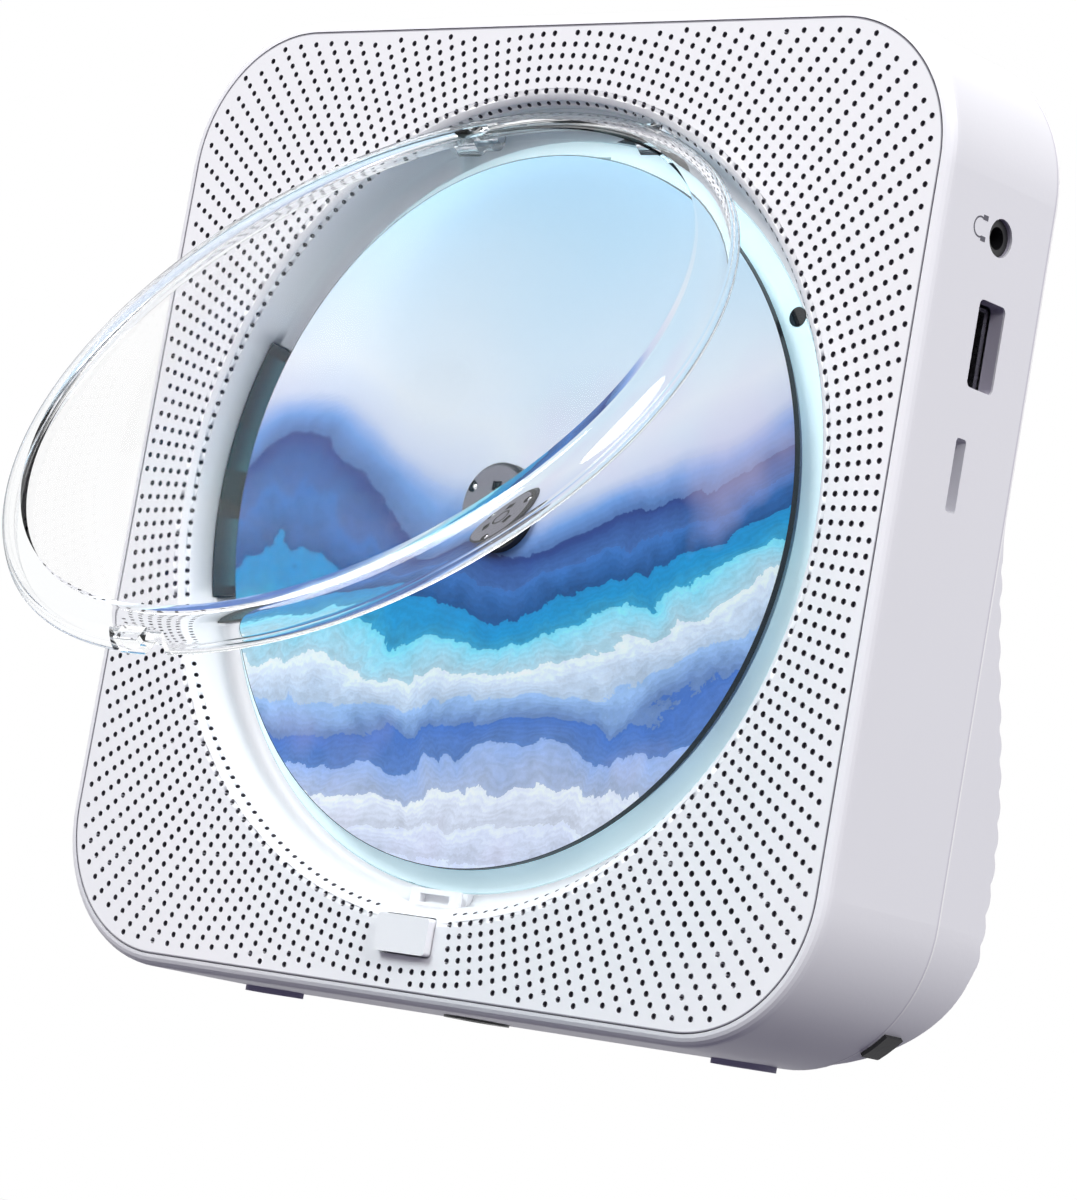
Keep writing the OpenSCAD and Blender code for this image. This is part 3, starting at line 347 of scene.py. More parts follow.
# Circuit boards and capacitors. Green glass-fibre boards with faint copper tracks under the lacquer and
# dark blue capacitors; they are screwed inside the housing and the cover.
board, add, shader = principled("green_board", Coat_Weight=0.3)
place = point_of(add)
cells = add("ShaderNodeTexVoronoi", {"feature": "DISTANCE_TO_EDGE"}, Vector=place, Scale=420.0)
track = add("ShaderNodeMapRange", Value=cells.outputs[0], From_Min=0.03, From_Max=0.06)
tone = blend_of(add, track.outputs[0], linear(58, 128, 74), linear(22, 82, 50))
board.node_tree.links.new(tone, shader.inputs["Base Color"])
raised = add("ShaderNodeBump", Height=track.outputs[0], Strength=0.2, Distance=0.0001)
board.node_tree.links.new(raised.outputs[0], shader.inputs["Normal"])
gloss = math_of(add, "MULTIPLY_ADD", track.outputs[0], 0.15, 0.3)
board.node_tree.links.new(gloss, shader.inputs["Roughness"])
dress(board, "main_board", "io_board", "key_board", "led_ring")
can_blue, _, _ = plastic("capacitor_sleeve", linear(38, 50, 76), 0.3, 500.0, 0.1, 0.2)
dress(can_blue, "capacitors")

# Sockets, the display's module and speakers. Black moulded plastic with a soft gloss, a card slot in the
# grey of its shaded recess, and dark paper cones behind the front's lower corners.
dark, _, _ = plastic("black_plastic", linear(24, 24, 27), 0.4, 1500.0, 0.2, 0.2)
dress(dark, "headphone_jack", "power_inlet", "display_module", "speaker_left", "speaker_right")
card_grey, _, _ = plastic("card_grey", linear(196, 193, 206), 0.45, 1300.0, 0.1, 0.05)
dress(card_grey, "card_socket")
cone, _, _ = plastic("cone_paper", linear(74, 77, 85), 0.85, 2600.0, 0.6, 0.25)
dress(cone, "cone_left", "cone_right")


# Front sheet. One white moulding: a flat perforated face, a rolled edge that carries the last ring of
# small holes, and the sloping wall of the disc well. It is the frame's solid with its holes cut; over
# the speakers and beside the button the solid is left as it is.
def piece_of(name, bm, material, body=None, sharp=30):
    mesh = bpy.data.meshes.new(name)
    bmesh.ops.recalc_face_normals(bm, faces=bm.faces)
    bm.to_mesh(mesh)
    bm.free()
    mesh.materials.append(material)
    mesh.shade_smooth()
    mesh.set_sharp_from_angle(angle=radians(sharp))
    made = bpy.data.objects.new(name, mesh)
    scene.collection.objects.link(made)
    if body:
        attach(made, body)
    return made


def rod(bm, centre, axis, radius, front, depth, sides=12):
    """A round rod from front before the centre to depth behind it."""
    axis = axis.normalized()
    across = axis.orthogonal().normalized()
    other = axis.cross(across)
    rings = []
    for reach in (-front, depth):
        middle = centre + axis * reach
        rings.append([bm.verts.new(middle + (across * cos(2 * pi * i / sides)
                                             + other * sin(2 * pi * i / sides)) * radius)
                      for i in range(sides)])
    for i in range(sides):
        bm.faces.new((rings[0][i], rings[0][i - 1], rings[1][i - 1], rings[1][i]))
    bm.faces.new(rings[0])
    bm.faces.new(rings[1][::-1])


def carve(piece, tool, how="DIFFERENCE"):
    step = piece.modifiers.new("carve", "BOOLEAN")
    step.operation = how
    step.solver = "MANIFOLD"
    step.object = tool
    solved = piece.evaluated_get(bpy.context.evaluated_depsgraph_get())
    shaped = bpy.data.meshes.new_from_object(solved)
    piece.modifiers.clear()
    if len(shaped.polygons) == 0:
        raise RuntimeError("the cut left nothing of " + piece.name)
    piece.data = shaped
    bpy.data.objects.remove(tool)


def values_of(data, key, size, kind=np.float64):
    values = np.empty(size, dtype=kind)
    data.foreach_get(key, values)
    return values


def vector_of(add, operation, a, b=(0, 0, 0)):
    return add("ShaderNodeVectorMath", {"operation": operation}, at0=a, at1=b).outputs[0]


def length_of(add, vector):
    return add("ShaderNodeVectorMath", {"operation": "LENGTH"}, at0=vector).outputs["Value"]


HOLE_COUNT, RINGS = 200, 26
PITCH = 2 * pi / HOLE_COUNT
RING_STEP, FIRST_RING = 1.97, 69.76
CORNER_AT, HOLES_WITHIN = 57.3, 22.3  # mm: centre of the sheet's corners, reach of the holes beyond it
SPEAKER_AT, SPEAKER_CLEAR = 59.4, 8.0
BUTTON_HALF, BUTTON_LOW, BUTTON_HIGH = 7.2, -76.6, -67
HOLE_R, HOLE_START, HOLE_DEPTH = 0.0005, 0.0006, 0.00085  # metres, like the next three
EDGE_HOLE_R, EDGE_HOLE_DEPTH = 0.00042, 0.0012
GAP_SHADE_AT, GAP_SHADE_FROM, GAP_SHADE_FULL = 0.0574, 0.02315, 0.0234
ROLL_R, ROLL_RING, ROLL = 2.8, 70.16, radians(53.8)
BUTTON_ANGLE, BUTTON_GAP = 270, 6  # degrees: no holes in the rolled edge next to the button

places = []
for ring in range(RINGS):
    r = FIRST_RING + ring * RING_STEP
    for i in range(HOLE_COUNT):
        a = 2 * pi * i / HOLE_COUNT
        x, z = r * cos(a), r * sin(a)
        dx, dz = max(abs(x) - CORNER_AT, 0), max(abs(z) - CORNER_AT, 0)
        on_sheet = hypot(dx, dz) < HOLES_WITHIN
        to_speaker = min(hypot(x - SPEAKER_AT, z + SPEAKER_AT), hypot(x + SPEAKER_AT, z + SPEAKER_AT))
        by_button = abs(x) < BUTTON_HALF and BUTTON_LOW < z < BUTTON_HIGH
        if on_sheet and to_speaker >= SPEAKER_CLEAR and not by_button:
            places.append((x, z))

sheet_white = linear(243, 243, 246)
face_white, add, feel = plastic("face_white", sheet_white, 0.4, 1300.0, 0.1, 0.02,
                                Specular_IOR_Level=0.35)
# Painted shade: a grey band along the sheet's outline stands for the shade in the gap to the housing.
from_axis = vector_of(add, "ABSOLUTE", vector_of(add, "SUBTRACT", point_of(add), AXIS))
beyond = vector_of(add, "SUBTRACT", from_axis, (GAP_SHADE_AT, 1, GAP_SHADE_AT))
beyond = vector_of(add, "MAXIMUM", beyond)
gap_shade = add("ShaderNodeMapRange", {"interpolation_type": "SMOOTHSTEP"}, Value=length_of(add, beyond),
           From_Min=GAP_SHADE_FROM, From_Max=GAP_SHADE_FULL)
tone = blend_of(add, gap_shade.outputs[0], sheet_white, linear(126, 124, 134))
face_white.node_tree.links.new(tone, feel.inputs["Tone"])

bm = bmesh.new()
bm.from_mesh(node["grille_panel"].data)
bmesh.ops.remove_doubles(bm, verts=bm.verts, dist=1e-6)
grille = piece_of("perforated_face", bm, face_white, "housing_body")
bm = bmesh.new()
for x, z in places:
    rod(bm, at(x, 0, z), Vector((0, 1, 0)), HOLE_R, HOLE_START, HOLE_DEPTH)
for i in range(HOLE_COUNT):
    a = 2 * pi * i / HOLE_COUNT
    if abs(i * 360 / HOLE_COUNT - BUTTON_ANGLE) > BUTTON_GAP:
        r = ROLL_RING - ROLL_R * sin(ROLL)
        inward = Vector((-cos(a) * sin(ROLL), -cos(ROLL), -sin(a) * sin(ROLL)))
        spot = at(r * cos(a), ROLL_R - ROLL_R * cos(ROLL), r * sin(a))
        rod(bm, spot, -inward, EDGE_HOLE_R, HOLE_START, EDGE_HOLE_DEPTH)
carve(grille, piece_of("cutters", bm, face_white))

# The sheet's faces get their materials by place, as painted shade: walls of holes dark, their floors a
# paler grey, the pocket black and the sheet's outer sides dark. The bounds are millimetres from a hole's
# axis, below the front's plane or along a rolled-edge hole.
hole_shade, _, _ = plastic("hole_shade", linear(92, 90, 98), 0.7, 1500.0, 0.2, 0.2)
pocket_shade, _, _ = plastic("pocket_shade", linear(16, 16, 19), 0.5, 1500.0, 0.2, 0.2)
hole_floor_shade, _, _ = plastic("hole_floor_shade", linear(206, 204, 212), 0.6, 1500.0, 0.2, 0.1)
SHADE, POCKET, FLOOR = 1, 2, 3
WALL_WITHIN, WALL_FROM, WALL_TO = 0.56, 0.3, 1.5
FLOOR_WITHIN, FLOOR_FROM, FLOOR_TO = 0.4, 0.7, 0.95
EDGE_WITHIN, EDGE_FROM, EDGE_TO = 0.5, 0.3, 1.4
POCKET_HALF, POCKET_LOW, POCKET_HIGH, POCKET_FROM = 6, 58, 68.5, 4.2
FACING, SIDEWAYS = 0.9, 0.5
WELL_R, MOUTH_R, MOUTH_Y = 69, 67.9, 1.15
SIDE_AT, SIDE_FROM, FLAT_FROM, PIN_X = 57.4, 23.35, 70.3, 20
for material in (hole_shade, pocket_shade, hole_floor_shade):
    grille.data.materials.append(material)

faces = grille.data.polygons
count = len(faces)
centres = values_of(faces, "center", count * 3).reshape(-1, 3) * 1000 + (0, FRONT_Y, AXIS_Z)
normals = values_of(faces, "normal", count * 3).reshape(-1, 3)
xs, ys, zs = centres.T
radius = np.hypot(xs, zs)
angle = np.arctan2(zs, xs)
near_angle = np.round(angle / PITCH) * PITCH
near_ring = np.maximum(np.round((radius - FIRST_RING) / RING_STEP), 0) * RING_STEP + FIRST_RING
off = np.hypot(xs - near_ring * np.cos(near_angle), zs - near_ring * np.sin(near_angle))
outer = radius > WELL_R
shaded = outer & (off < WALL_WITHIN) & (ys > WALL_FROM) & (ys < WALL_TO)
floors = outer & (off < FLOOR_WITHIN) & (ys > FLOOR_FROM) & (ys < FLOOR_TO) & (np.abs(normals[:, 1]) > FACING)

# The rolled edge's holes are found by the distances beside, along and across their own axes.
beside = radius * np.sin(angle - near_angle)
along = (radius - MOUTH_R) * sin(ROLL) + (ys - MOUTH_Y) * cos(ROLL)
across = (radius - MOUTH_R) * cos(ROLL) - (ys - MOUTH_Y) * sin(ROLL)
shaded |= (np.hypot(beside, across) < EDGE_WITHIN) & (along > EDGE_FROM) & (along < EDGE_TO)
in_pocket = (np.abs(xs - PIN_X) < POCKET_HALF) & (zs > POCKET_LOW) & (zs < POCKET_HIGH) & (ys > POCKET_FROM)
past = np.hypot(np.maximum(np.abs(xs) - SIDE_AT, 0), np.maximum(np.abs(zs) - SIDE_AT, 0))
slots = np.zeros(count, dtype=np.int32)
slots[shaded] = SHADE
slots[in_pocket] = POCKET
slots[floors] = FLOOR
# The sheet's outer side faces get the same painted shade, a dark gap line at the housing.
slots[(past > SIDE_FROM) & (np.abs(normals[:, 1]) < SIDEWAYS)] = SHADE
faces.foreach_set("material_index", slots)
grille.data.set_sharp_from_angle(angle=radians(30))

# The flat face is shaded as flat, so that the cut holes leave no smudges round them.
flat_face = (ys < 0.004) & (radius > FLAT_FROM)
starts = values_of(faces, "loop_start", count, np.int32)
totals = values_of(faces, "loop_total", count, np.int32)
corners = values_of(grille.data.corner_normals, "vector", len(grille.data.loops) * 3, np.float32)
corners = corners.reshape(-1, 3)
for start, total in zip(starts[flat_face], totals[flat_face]):
    corners[start:start + total] = (0, -1, 0)
grille.data.normals_split_custom_set(corners)
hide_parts("grille_panel")

# Glowing ledge. A ring of milky plastic under the disc's edge, lit from behind by small lamps, that
# gives off an even cyan-white light; brighter spots lie over the lamps.
glow_ring, add, feel = plastic("glow_ring", linear(220, 233, 237), 0.5, 900.0, 0.1, 0.02)
shader = feel.outputs["Tone"].links[0].to_node
LAMPS, LAMP_SWELL = 18.0, 0.04
xyz = axes_of(add, vector_of(add, "SUBTRACT", point_of(add), AXIS))
around = math_of(add, "ARCTAN2", xyz["Z"], xyz["X"])
beat = math_of(add, "COSINE", math_of(add, "MULTIPLY", around, LAMPS))
level = math_of(add, "MULTIPLY_ADD", beat, LAMP_SWELL, 1 - LAMP_SWELL)
shine = add("ShaderNodeVectorMath", {"operation": "SCALE"}, at0=linear(200, 240, 249)[:3], Scale=level)
glow_ring.node_tree.links.new(shine.outputs[0], shader.inputs["Emission Color"])
shader.inputs["Emission Strength"].default_value = 0.4
dress(glow_ring, "light_ring")

# Display window and remote-control eye. Smoked acrylic that slopes from the well's wall to the ledge,
# darker towards its outer edge and over the module's frame, and a small dark dot in the ledge.
WINDOW_OUTER, WINDOW_INNER = 0.0652, 0.0612
FRAME_HALF, LOW_END, HIGH_END = 3.8, -14.6, 22.2  # degrees round the axis from the window's level
smoked, add, shader = principled("smoked_window", Coat_Weight=0.1, Coat_Roughness=0.1,
                                 Specular_IOR_Level=0.25)
place = point_of(add)
xyz = axes_of(add, vector_of(add, "SUBTRACT", place, AXIS))
around = math_of(add, "ARCTAN2", xyz["Z"], math_of(add, "MULTIPLY", xyz["X"], -1.0))
turn_deg = math_of(add, "MULTIPLY", around, 180 / pi)
flat = add("ShaderNodeCombineXYZ", X=xyz["X"], Y=xyz["Z"])
slope = add("ShaderNodeMapRange", Value=length_of(add, flat.outputs[0]), From_Min=WINDOW_OUTER,
            From_Max=WINDOW_INNER)
frame_band = math_of(add, "COMPARE", turn_deg, 0.0, FRAME_HALF)
end_low = math_of(add, "LESS_THAN", turn_deg, LOW_END)
end_high = math_of(add, "GREATER_THAN", turn_deg, HIGH_END)
shade = math_of(add, "MAXIMUM", math_of(add, "MAXIMUM", frame_band, end_low), end_high)
dust = add("ShaderNodeTexNoise", Vector=place, Scale=900.0, Detail=3.0)
tone = blend_of(add, slope.outputs[0], linear(4, 46, 56), linear(58, 130, 148))
tone = blend_of(add, shade, tone, linear(3, 36, 44))
smoked.node_tree.links.new(tone, shader.inputs["Base Color"])
gloss = math_of(add, "MULTIPLY_ADD", dust.outputs[0], 0.1, 0.12)
smoked.node_tree.links.new(gloss, shader.inputs["Roughness"])
dress(smoked, "display_window")
eye_dark, _, _ = plastic("eye_dark", linear(16, 22, 28), 0.12, 400.0, 0.03, 0.2, Coat_Weight=0.6)
dress(eye_dark, "ir_window")

# Deck and disc drive. The deck is a white plate under the disc; the drive behind it is a dark chassis
# with the pickup on two rods, a rack, and two natural-coloured gears.
deck_white, _, _ = plastic("deck_white", linear(226, 229, 234), 0.5, 1000.0, 0.1, 0.03)
dress(deck_white, "deck")
chassis_dark, _, _ = plastic("chassis_dark", linear(56, 60, 66), 0.5, 900.0, 0.25, 0.15)
dress(chassis_dark, "chassis", "pickup_sled")
natural, _, _ = plastic("gear_natural", linear(230, 225, 210), 0.38, 1200.0, 0.08, 0.06,
                        Subsurface_Weight=0.1, Subsurface_Scale=0.001)
dress(natural, "sled_rack", "sled_gear", "motor_pinion")
lens, add, shader = principled("lens_blue", Base_Color=linear(60, 84, 150), Coat_Weight=1.0)
ripple = add("ShaderNodeTexNoise", Scale=1500.0)
gloss = math_of(add, "MULTIPLY_ADD", ripple.outputs[0], 0.06, 0.03)
lens.node_tree.links.new(gloss, shader.inputs["Roughness"])
dress(lens, "pickup_lens")

# Hub. A grey moulded boss in the disc's hole with spring balls round it; its face is light grey with
# black pits, its side and the plate under the disc are black.
hub, add, feel = plastic("hub_grey", linear(150, 148, 155), 0.42, 1600.0, 0.2, 0.06)
HUB_FACE = 2.5 + 0.12
face = math_of(add, "LESS_THAN", axes_of(add, point_of(add))["Y"], (HUB_FACE - FRONT_Y) / 1000)
tone = blend_of(add, face, linear(22, 22, 25), linear(126, 123, 132))
hub.node_tree.links.new(tone, feel.inputs["Tone"])
dress(hub, "turntable")

# Disc. A 120 mm disc whose printed side shows soft ribbons of sky blue, lavender and deep water blue
# that sweep across it; the print is lacquered. The cut edge of the disc is dark, partly its own colour
# and partly painted shade of the gap under the disc's edge.
DISC_R, PRINT_R = 0.06, 0.9975  # metres, and the printed part of that radius
RIBBONS, THREADS = 9.0, 5
TILT, BEND, TEAR = -0.28, 0.9, 0.34
WAVE_RATE, WAVE_START, WAVE_HEIGHT = 2.3, 0.6, 0.16
SHADE_IN_RIBBON, THREAD_DEPTH, GRAIN = 0.34, 0.05, 0.7
printed, add, shader = principled("printed_disc", Coat_Weight=0.12, Coat_Roughness=0.12,
                                  Specular_IOR_Level=0.25)
centred = vector_of(add, "SUBTRACT", point_of(add), AXIS)
scaled = add("ShaderNodeVectorMath", {"operation": "SCALE"}, at0=centred, Scale=1 / DISC_R).outputs[0]
bend = add("ShaderNodeTexNoise", Vector=scaled, Scale=0.9, Detail=2.0, Roughness=0.4)
fine = add("ShaderNodeTexNoise", Vector=scaled, Scale=2.8, Detail=9.0, Roughness=0.62, Distortion=0.6)
xyz = axes_of(add, scaled)

# Height in the print, in disc radii: tilted, waved, bent, and torn into cliffs in its lower half.
lift = math_of(add, "MULTIPLY_ADD", xyz["X"], TILT, xyz["Z"])
wave = math_of(add, "SINE", math_of(add, "MULTIPLY_ADD", xyz["X"], WAVE_RATE, WAVE_START))
lift = math_of(add, "MULTIPLY_ADD", wave, WAVE_HEIGHT, lift)
lift = math_of(add, "MULTIPLY_ADD", centred_on(add, bend.outputs[0]), BEND, lift)
rough = add("ShaderNodeMapRange", {"interpolation_type": "SMOOTHSTEP"}, Value=lift, From_Min=0.3,
            From_Max=-0.02).outputs[0]
torn = math_of(add, "MULTIPLY", centred_on(add, fine.outputs[0]), TEAR)
lift = math_of(add, "ADD", lift, math_of(add, "MULTIPLY", torn, rough))

# Colour by height: stepped ribbons below, a soft sky above.
counted = math_of(add, "MULTIPLY", lift, RIBBONS)
within = math_of(add, "FRACT", counted)
stepped = math_of(add, "MULTIPLY_ADD", within, 0.45, math_of(add, "FLOOR", counted))
stepped = math_of(add, "MULTIPLY", stepped, 1 / RIBBONS)
cut = add("ShaderNodeMix", {"data_type": "FLOAT"}, at0=rough, at2=lift, at3=stepped).outputs[0]
height = add("ShaderNodeMapRange", Value=cut, From_Min=-1.1, From_Max=1.1)
ramp = add("ShaderNodeValToRGB", Fac=height.outputs[0])
stops = (
    (0.02, (206, 214, 238)), (0.12, (222, 228, 243)), (0.18, (112, 152, 214)), (0.23, (40, 92, 176)),
    (0.28, (164, 198, 236)), (0.33, (230, 238, 248)), (0.375, (92, 206, 232)), (0.41, (10, 146, 204)),
    (0.45, (6, 84, 150)), (0.49, (70, 122, 196)), (0.53, (28, 56, 124)), (0.575, (112, 158, 222)),
    (0.615, (214, 222, 242)), (0.67, (234, 240, 248)), (0.76, (212, 232, 247)), (0.86, (190, 224, 246)),
    (0.97, (170, 216, 246)),
)
band = ramp.color_ramp.elements
for i, (spot, rgb) in enumerate(stops):
    stop = band[i] if i < 2 else band.new(spot)
    stop.position = spot
    stop.color = linear(*rgb)

# Shade within each ribbon, thin threads along it, a coarse grain and a blush of pink.
thread = math_of(add, "SINE", math_of(add, "MULTIPLY", counted, 2 * pi * THREADS))
grainy = add("ShaderNodeTexNoise", Vector=scaled, Scale=16.0, Detail=8.0, Roughness=0.7)
level = math_of(add, "MULTIPLY_ADD", within, SHADE_IN_RIBBON, 0.84)
level = math_of(add, "MULTIPLY_ADD", thread, THREAD_DEPTH, level)
level = math_of(add, "MULTIPLY_ADD", centred_on(add, grainy.outputs[0]), GRAIN, level)
level = add("ShaderNodeMix", {"data_type": "FLOAT"}, at0=rough, at2=1.0, at3=level).outputs[0]
shaded = add("ShaderNodeVectorMath", {"operation": "SCALE"}, at0=ramp.outputs[0], Scale=level).outputs[0]
shaded = vector_of(add, "MINIMUM", shaded, (0.93, 0.93, 0.94))
blush = add("ShaderNodeTexNoise", Vector=scaled, Scale=1.7, Detail=3.0, Roughness=0.5)
pink = add("ShaderNodeMapRange", Value=blush.outputs[0], From_Min=0.55, From_Max=0.72, To_Max=0.4)
tone = blend_of(add, pink.outputs[0], shaded, linear(222, 206, 234))
# Past the print the disc turns dark: the cut edge's own dark colour and painted shade of the gap under it.
flat = add("ShaderNodeCombineXYZ", X=xyz["X"], Y=xyz["Z"])
edge = math_of(add, "GREATER_THAN", length_of(add, flat.outputs[0]), PRINT_R)
tone = blend_of(add, edge, tone, linear(14, 22, 34))
printed.node_tree.links.new(tone, shader.inputs["Base Color"])
gloss = math_of(add, "MULTIPLY_ADD", fine.outputs[0], 0.12, 0.3)
printed.node_tree.links.new(gloss, shader.inputs["Roughness"])
dress(printed, "disc")

# Lid. A clear acrylic dome turned up about its two knuckles: 2 mm thick, with a deep rounded rim, a
# small pull tab between two notches, and bores for the hinge pins.
LID_R, LID_T, RIM_Y, RISE, CROWN, FILLET = 64.6, 2.0, 5.1, 5.7, 1.0, 5.5
HINGE_Y, HINGE_Z, OPEN = 6.7, 63.7, 36
PIN_R, KNUCKLE_R, KNUCKLE_W = 0.00105, 0.0023, 5
ARM_Y, ARM_LOW, ARM_HIGH = 2.6, 58.6, 61.8
TAB_HALF, TAB_Y, TAB_INSET, TAB_OUT = 2.6, 1.2, 1.3, -65.4
NOTCH_HALF, NOTCH_Y, NOTCH_BACK, NOTCH_IN, NOTCH_OUT = 5.7, 1.2, 8, -62.6, -66
LID_STEPS, CROWN_STEPS, LID_SHARP = 160, 12, 35
dome_y = RIM_Y - RISE
inner_r = LID_R - FILLET


def arc(middle_r, middle_y, radius, degrees):
    return [(middle_r + radius * cos(radians(a)), middle_y + radius * sin(radians(a))) for a in degrees]


def crown(y, steps):
    return [(inner_r * (1 - i / CROWN_STEPS), y - CROWN * (1 - (1 - i / CROWN_STEPS) ** 2)) for i in steps]


profile = arc(inner_r, dome_y + FILLET, FILLET, range(-10, -91, -5))
profile += crown(dome_y, range(1, CROWN_STEPS + 1))
profile += crown(dome_y + LID_T, range(CROWN_STEPS, 0, -1))
profile += arc(inner_r, dome_y + FILLET, FILLET - LID_T, range(-90, -14, 5))
profile += arc(LID_R - LID_T / 2, RIM_Y - LID_T / 2, LID_T / 2, range(180, -1, -20))


def turned_form(profile, steps):
    """A closed outline of (radius, y) turned about the disc's axis; a point on the axis is one vertex."""
    bm = bmesh.new()
    rings = []
    for r, y in profile:
        if r < 1e-6:
            rings.append([bm.verts.new(at(0, y, 0))] * steps)
        else:
            rings.append([bm.verts.new(at(r * cos(2 * pi * i / steps), y, r * sin(2 * pi * i / steps)))
                          for i in range(steps)])
    for j in range(len(profile)):
        a, b = rings[j - 1], rings[j]
        for i in range(steps):
            corners = []
            for v in (a[i - 1], a[i], b[i], b[i - 1]):
                if v not in corners:
                    corners.append(v)
            if len(corners) > 2:
                bm.faces.new(corners)
    return bm


def box_form(bm, x0, x1, y0, y1, z0, z1):
    low, high = at(min(x0, x1), y0, z0), at(max(x0, x1), y1, z1)
    made = bmesh.ops.create_cube(bm, size=1.0)
    for v in made["verts"]:
        v.co = Vector([(high if v.co[i] > 0 else low)[i] for i in range(3)])


def acrylic(name, body_low, body_high):
    """Clear plastic: its reflections grow towards the outline, where it is grey; shadows pass through."""
    made, plus, shader = principled(name, Transmission_Weight=1.0, IOR=1.49)
    facing = plus("ShaderNodeLayerWeight", Blend=0.5).outputs["Facing"]
    rim = plus("ShaderNodeMapRange", {"interpolation_type": "SMOOTHSTEP"}, Value=facing, From_Min=0.72)
    flow = plus("ShaderNodeTexNoise", Vector=point_of(plus), Scale=60.0, Detail=2.0)
    tone = blend_of(plus, rim.outputs[0], (0.985, 0.995, 1.0, 1), linear(186, 196, 206))
    made.node_tree.links.new(tone, shader.inputs["Base Color"])
    body = plus("ShaderNodeMapRange", Value=facing, From_Min=0.3, To_Min=body_low, To_Max=body_high)
    made.node_tree.links.new(body.outputs[0], shader.inputs["Alpha"])
    gloss = math_of(plus, "MULTIPLY", flow.outputs[0], 0.02)
    made.node_tree.links.new(gloss, shader.inputs["Roughness"])
    ray = plus("ShaderNodeLightPath")
    through = plus("ShaderNodeBsdfTransparent", Color=linear(244, 250, 251))
    outline = plus("ShaderNodeMapRange", {"interpolation_type": "SMOOTHSTEP"}, Value=facing,
                   From_Min=0.76, From_Max=0.98, To_Max=0.8)
    grey = plus("ShaderNodeBsdfTransparent", Color=linear(176, 182, 190))
    edged = plus("ShaderNodeMixShader", at0=outline.outputs[0], at1=shader.outputs[0], at2=grey.outputs[0])
    passing = plus("ShaderNodeMixShader", at0=ray.outputs["Is Shadow Ray"], at1=edged.outputs[0],
                   at2=through.outputs[0])
    target = [n for n in made.node_tree.nodes if n.type == "OUTPUT_MATERIAL"][0]
    made.node_tree.links.new(passing.outputs[0], target.inputs[0])
    return made


clear = acrylic("clear_acrylic", 1.0, 1.0)
clear_dome = acrylic("clear_dome", 0.01, 0.12)
lid = piece_of("clear_lid", turned_form(profile, LID_STEPS), clear, sharp=LID_SHARP)


def shape_lid(name, how, form, *sizes):
    bm = bmesh.new()
    form(bm, *sizes)
    carve(lid, piece_of(name, bm, clear), how)


for side in (-1, 1):
    knuckle_x = side * PIN_X - KNUCKLE_W / 2
    shape_lid("knuckle", "UNION", rod, at(knuckle_x, HINGE_Y, HINGE_Z), Vector((1, 0, 0)), KNUCKLE_R, 0,
              KNUCKLE_W / 1000, 40)
    shape_lid("arm", "UNION", box_form, knuckle_x, knuckle_x + KNUCKLE_W, ARM_Y, HINGE_Y, ARM_LOW, ARM_HIGH)
shape_lid("tab", "UNION", box_form, -TAB_HALF, TAB_HALF, dome_y + TAB_Y, RIM_Y - TAB_INSET, TAB_OUT, NOTCH_IN)
for side in (-1, 1):
    shape_lid("bore", "DIFFERENCE", rod, at(side * PIN_X - KNUCKLE_W, HINGE_Y, HINGE_Z), Vector((1, 0, 0)),
              PIN_R, 0, 2 * KNUCKLE_W / 1000, 24)
    shape_lid("notch", "DIFFERENCE", box_form, side * TAB_HALF, side * NOTCH_HALF, NOTCH_Y, NOTCH_BACK,
              NOTCH_OUT, NOTCH_IN)
shape_lid("notch", "DIFFERENCE", box_form, -NOTCH_HALF, NOTCH_HALF, RIM_Y - TAB_INSET, NOTCH_BACK,
          NOTCH_OUT, NOTCH_IN)

# The thin dome reflects less than the rim, so that the disc and the window stay clear behind it.
lid.data.materials.append(clear_dome)
for face in lid.data.polygons:
    middle = face.center * 1000 + Vector((0, FRONT_Y, AXIS_Z))
    if hypot(middle.x, middle.z) < inner_r - 0.5 and middle.y < dome_y + LID_T + 0.01:
        face.material_index = 1
hinge = at(0, HINGE_Y, HINGE_Z)
opening = Matrix.Rotation(radians(-OPEN), 4, "X")
lid.data.transform(Matrix.Translation(hinge) @ opening @ Matrix.Translation(-hinge))
lid.data.shade_smooth()
lid.data.set_sharp_from_angle(angle=radians(LID_SHARP))
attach(lid, "lid_body")
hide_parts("lid")

# Lid catch, its button and the button's spring. Catch and button are white like the front. The button
# under the well releases the lid, and a small steel coil behind it pushes it back.
WIRE_R, COIL_R, TURNS, TURN_STEPS, WIRE_SIDES, PRESS = 0.22, 2.07, 6, 18, 8, 0.001
dress(face_white, "lid_catch", "latch_button")
low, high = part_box("latch_spring")
middle = (low + high) / 2
reach = high.y - low.y - 0.002 * WIRE_R
bm = bmesh.new()
rings = []
for i in range(TURNS * TURN_STEPS + 1):
    a = 2 * pi * i / TURN_STEPS
    outward = Vector((cos(a), 0, sin(a)))
    climb = low.y + 0.001 * WIRE_R + reach * i / (TURNS * TURN_STEPS)
    spot = Vector((middle.x, climb, middle.z)) + outward * COIL_R / 1000
    rings.append([])
    for k in range(WIRE_SIDES):
        b = 2 * pi * k / WIRE_SIDES
        around = outward * cos(b) + Vector((0, sin(b), 0))
        rings[-1].append(bm.verts.new(spot + around * WIRE_R / 1000))
for here, there in zip(rings, rings[1:]):
    for k in range(WIRE_SIDES):
        bm.faces.new((here[k - 1], here[k], there[k], there[k - 1]))
bm.faces.new(rings[0])
bm.faces.new(rings[-1][::-1])
coil = piece_of("latch_coil", bm, bright_steel, "housing_body", 60)
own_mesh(coil)
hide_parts("latch_spring")

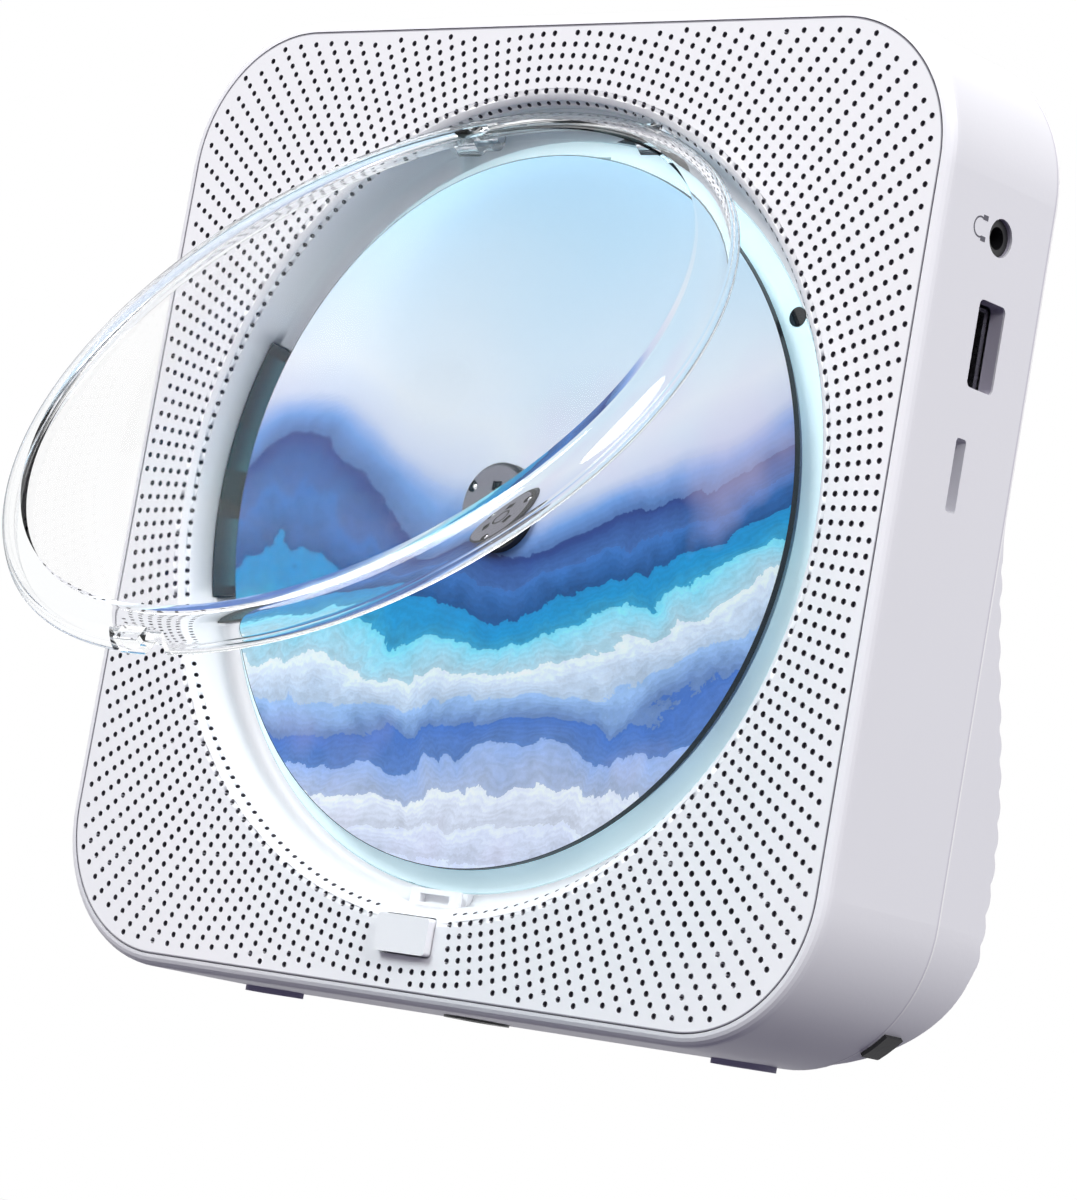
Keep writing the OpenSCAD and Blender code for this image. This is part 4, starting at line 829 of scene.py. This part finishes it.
# Keys. Six white keys along the top, each with a small grey printed sign for what it does: minus,
# previous, play or pause, stop, next and plus.
KEY_STEP, KEY_Y, KEY_TOP, MARK_TOP, PRINT_T = 13, 14, 83.83, 83.03, 0.12
key_white, _, _ = plastic("key_white", linear(232, 233, 238), 0.38, 1400.0, 0.1, 0.03)
for i in range(1, 7):
    dress(key_white, "key_%d" % i)
grey_print, _, _ = plastic("grey_print", linear(92, 91, 100), 0.6, 1500.0, 0.1, 0.1)


def sign(name, outlines, top, body, drawn):
    """Flat printed outlines; drawn turns (u, v, height) in millimetres into a place in the frame."""
    bm = bmesh.new()
    for outline in outlines:
        upper = [bm.verts.new(drawn(u, v, top)) for u, v in outline]
        lower = [bm.verts.new(drawn(u, v, top - PRINT_T)) for u, v in outline]
        bm.faces.new(upper)
        bm.faces.new(lower[::-1])
        for j in range(len(outline)):
            bm.faces.new((upper[j - 1], lower[j - 1], lower[j], upper[j]))
    return piece_of(name, bm, grey_print, body)


def bar(x0, x1, y0=-1.0, y1=1.0):
    return [(x0, y0), (x1, y0), (x1, y1), (x0, y1)]


def arrow(x0, x1):
    return [(x0, -1.0), (x1, 0.0), (x0, 1.0)]


signs = {
    1: [bar(-1.0, 1.0, -0.25, 0.25)],
    2: [bar(-1.3, -1.0), arrow(1.1, -0.9)],
    3: [arrow(-1.5, 0.1), bar(0.5, 0.8), bar(1.2, 1.5)],
    4: [bar(-0.9, 0.9, -0.9, 0.9)],
    5: [arrow(-1.1, 0.9), bar(1.0, 1.3)],
    6: [bar(-1.0, 1.0, -0.25, 0.25), bar(-0.25, 0.25, 0.26, 1.0), bar(-0.25, 0.25, -1.0, -0.26)],
}
for i, outlines in signs.items():
    centre = (i - 3.5) * KEY_STEP
    sign("key_sign_%d" % i, outlines, KEY_TOP, "key_%d_body" % i,
         lambda u, v, z, centre=centre: at(centre + u, KEY_Y + v, z))

# Headphone mark. A small printed outline of a headset on the right side, beside its socket: a band
# over two ear cups.
MARK_Y, MARK_Z, MARK_SCALE = 10.2, 49.6, 0.9
band_line = []
for start, stop, r in ((200, -20, 1.9), (-20, 200, 1.6)):
    step = -10 if stop < start else 10
    band_line += [(r * cos(radians(a)), r * sin(radians(a))) for a in range(start, stop + (step // 2), step)]
cups = [bar(-2.3, -1.4, -2.0, -0.6), bar(1.4, 2.3, -2.0, -0.6)]
sign("headphone_mark", [band_line] + cups, MARK_TOP, "housing_body",
     lambda u, v, x: at(x, MARK_Y - v * MARK_SCALE, MARK_Z + u * MARK_SCALE))

low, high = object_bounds()
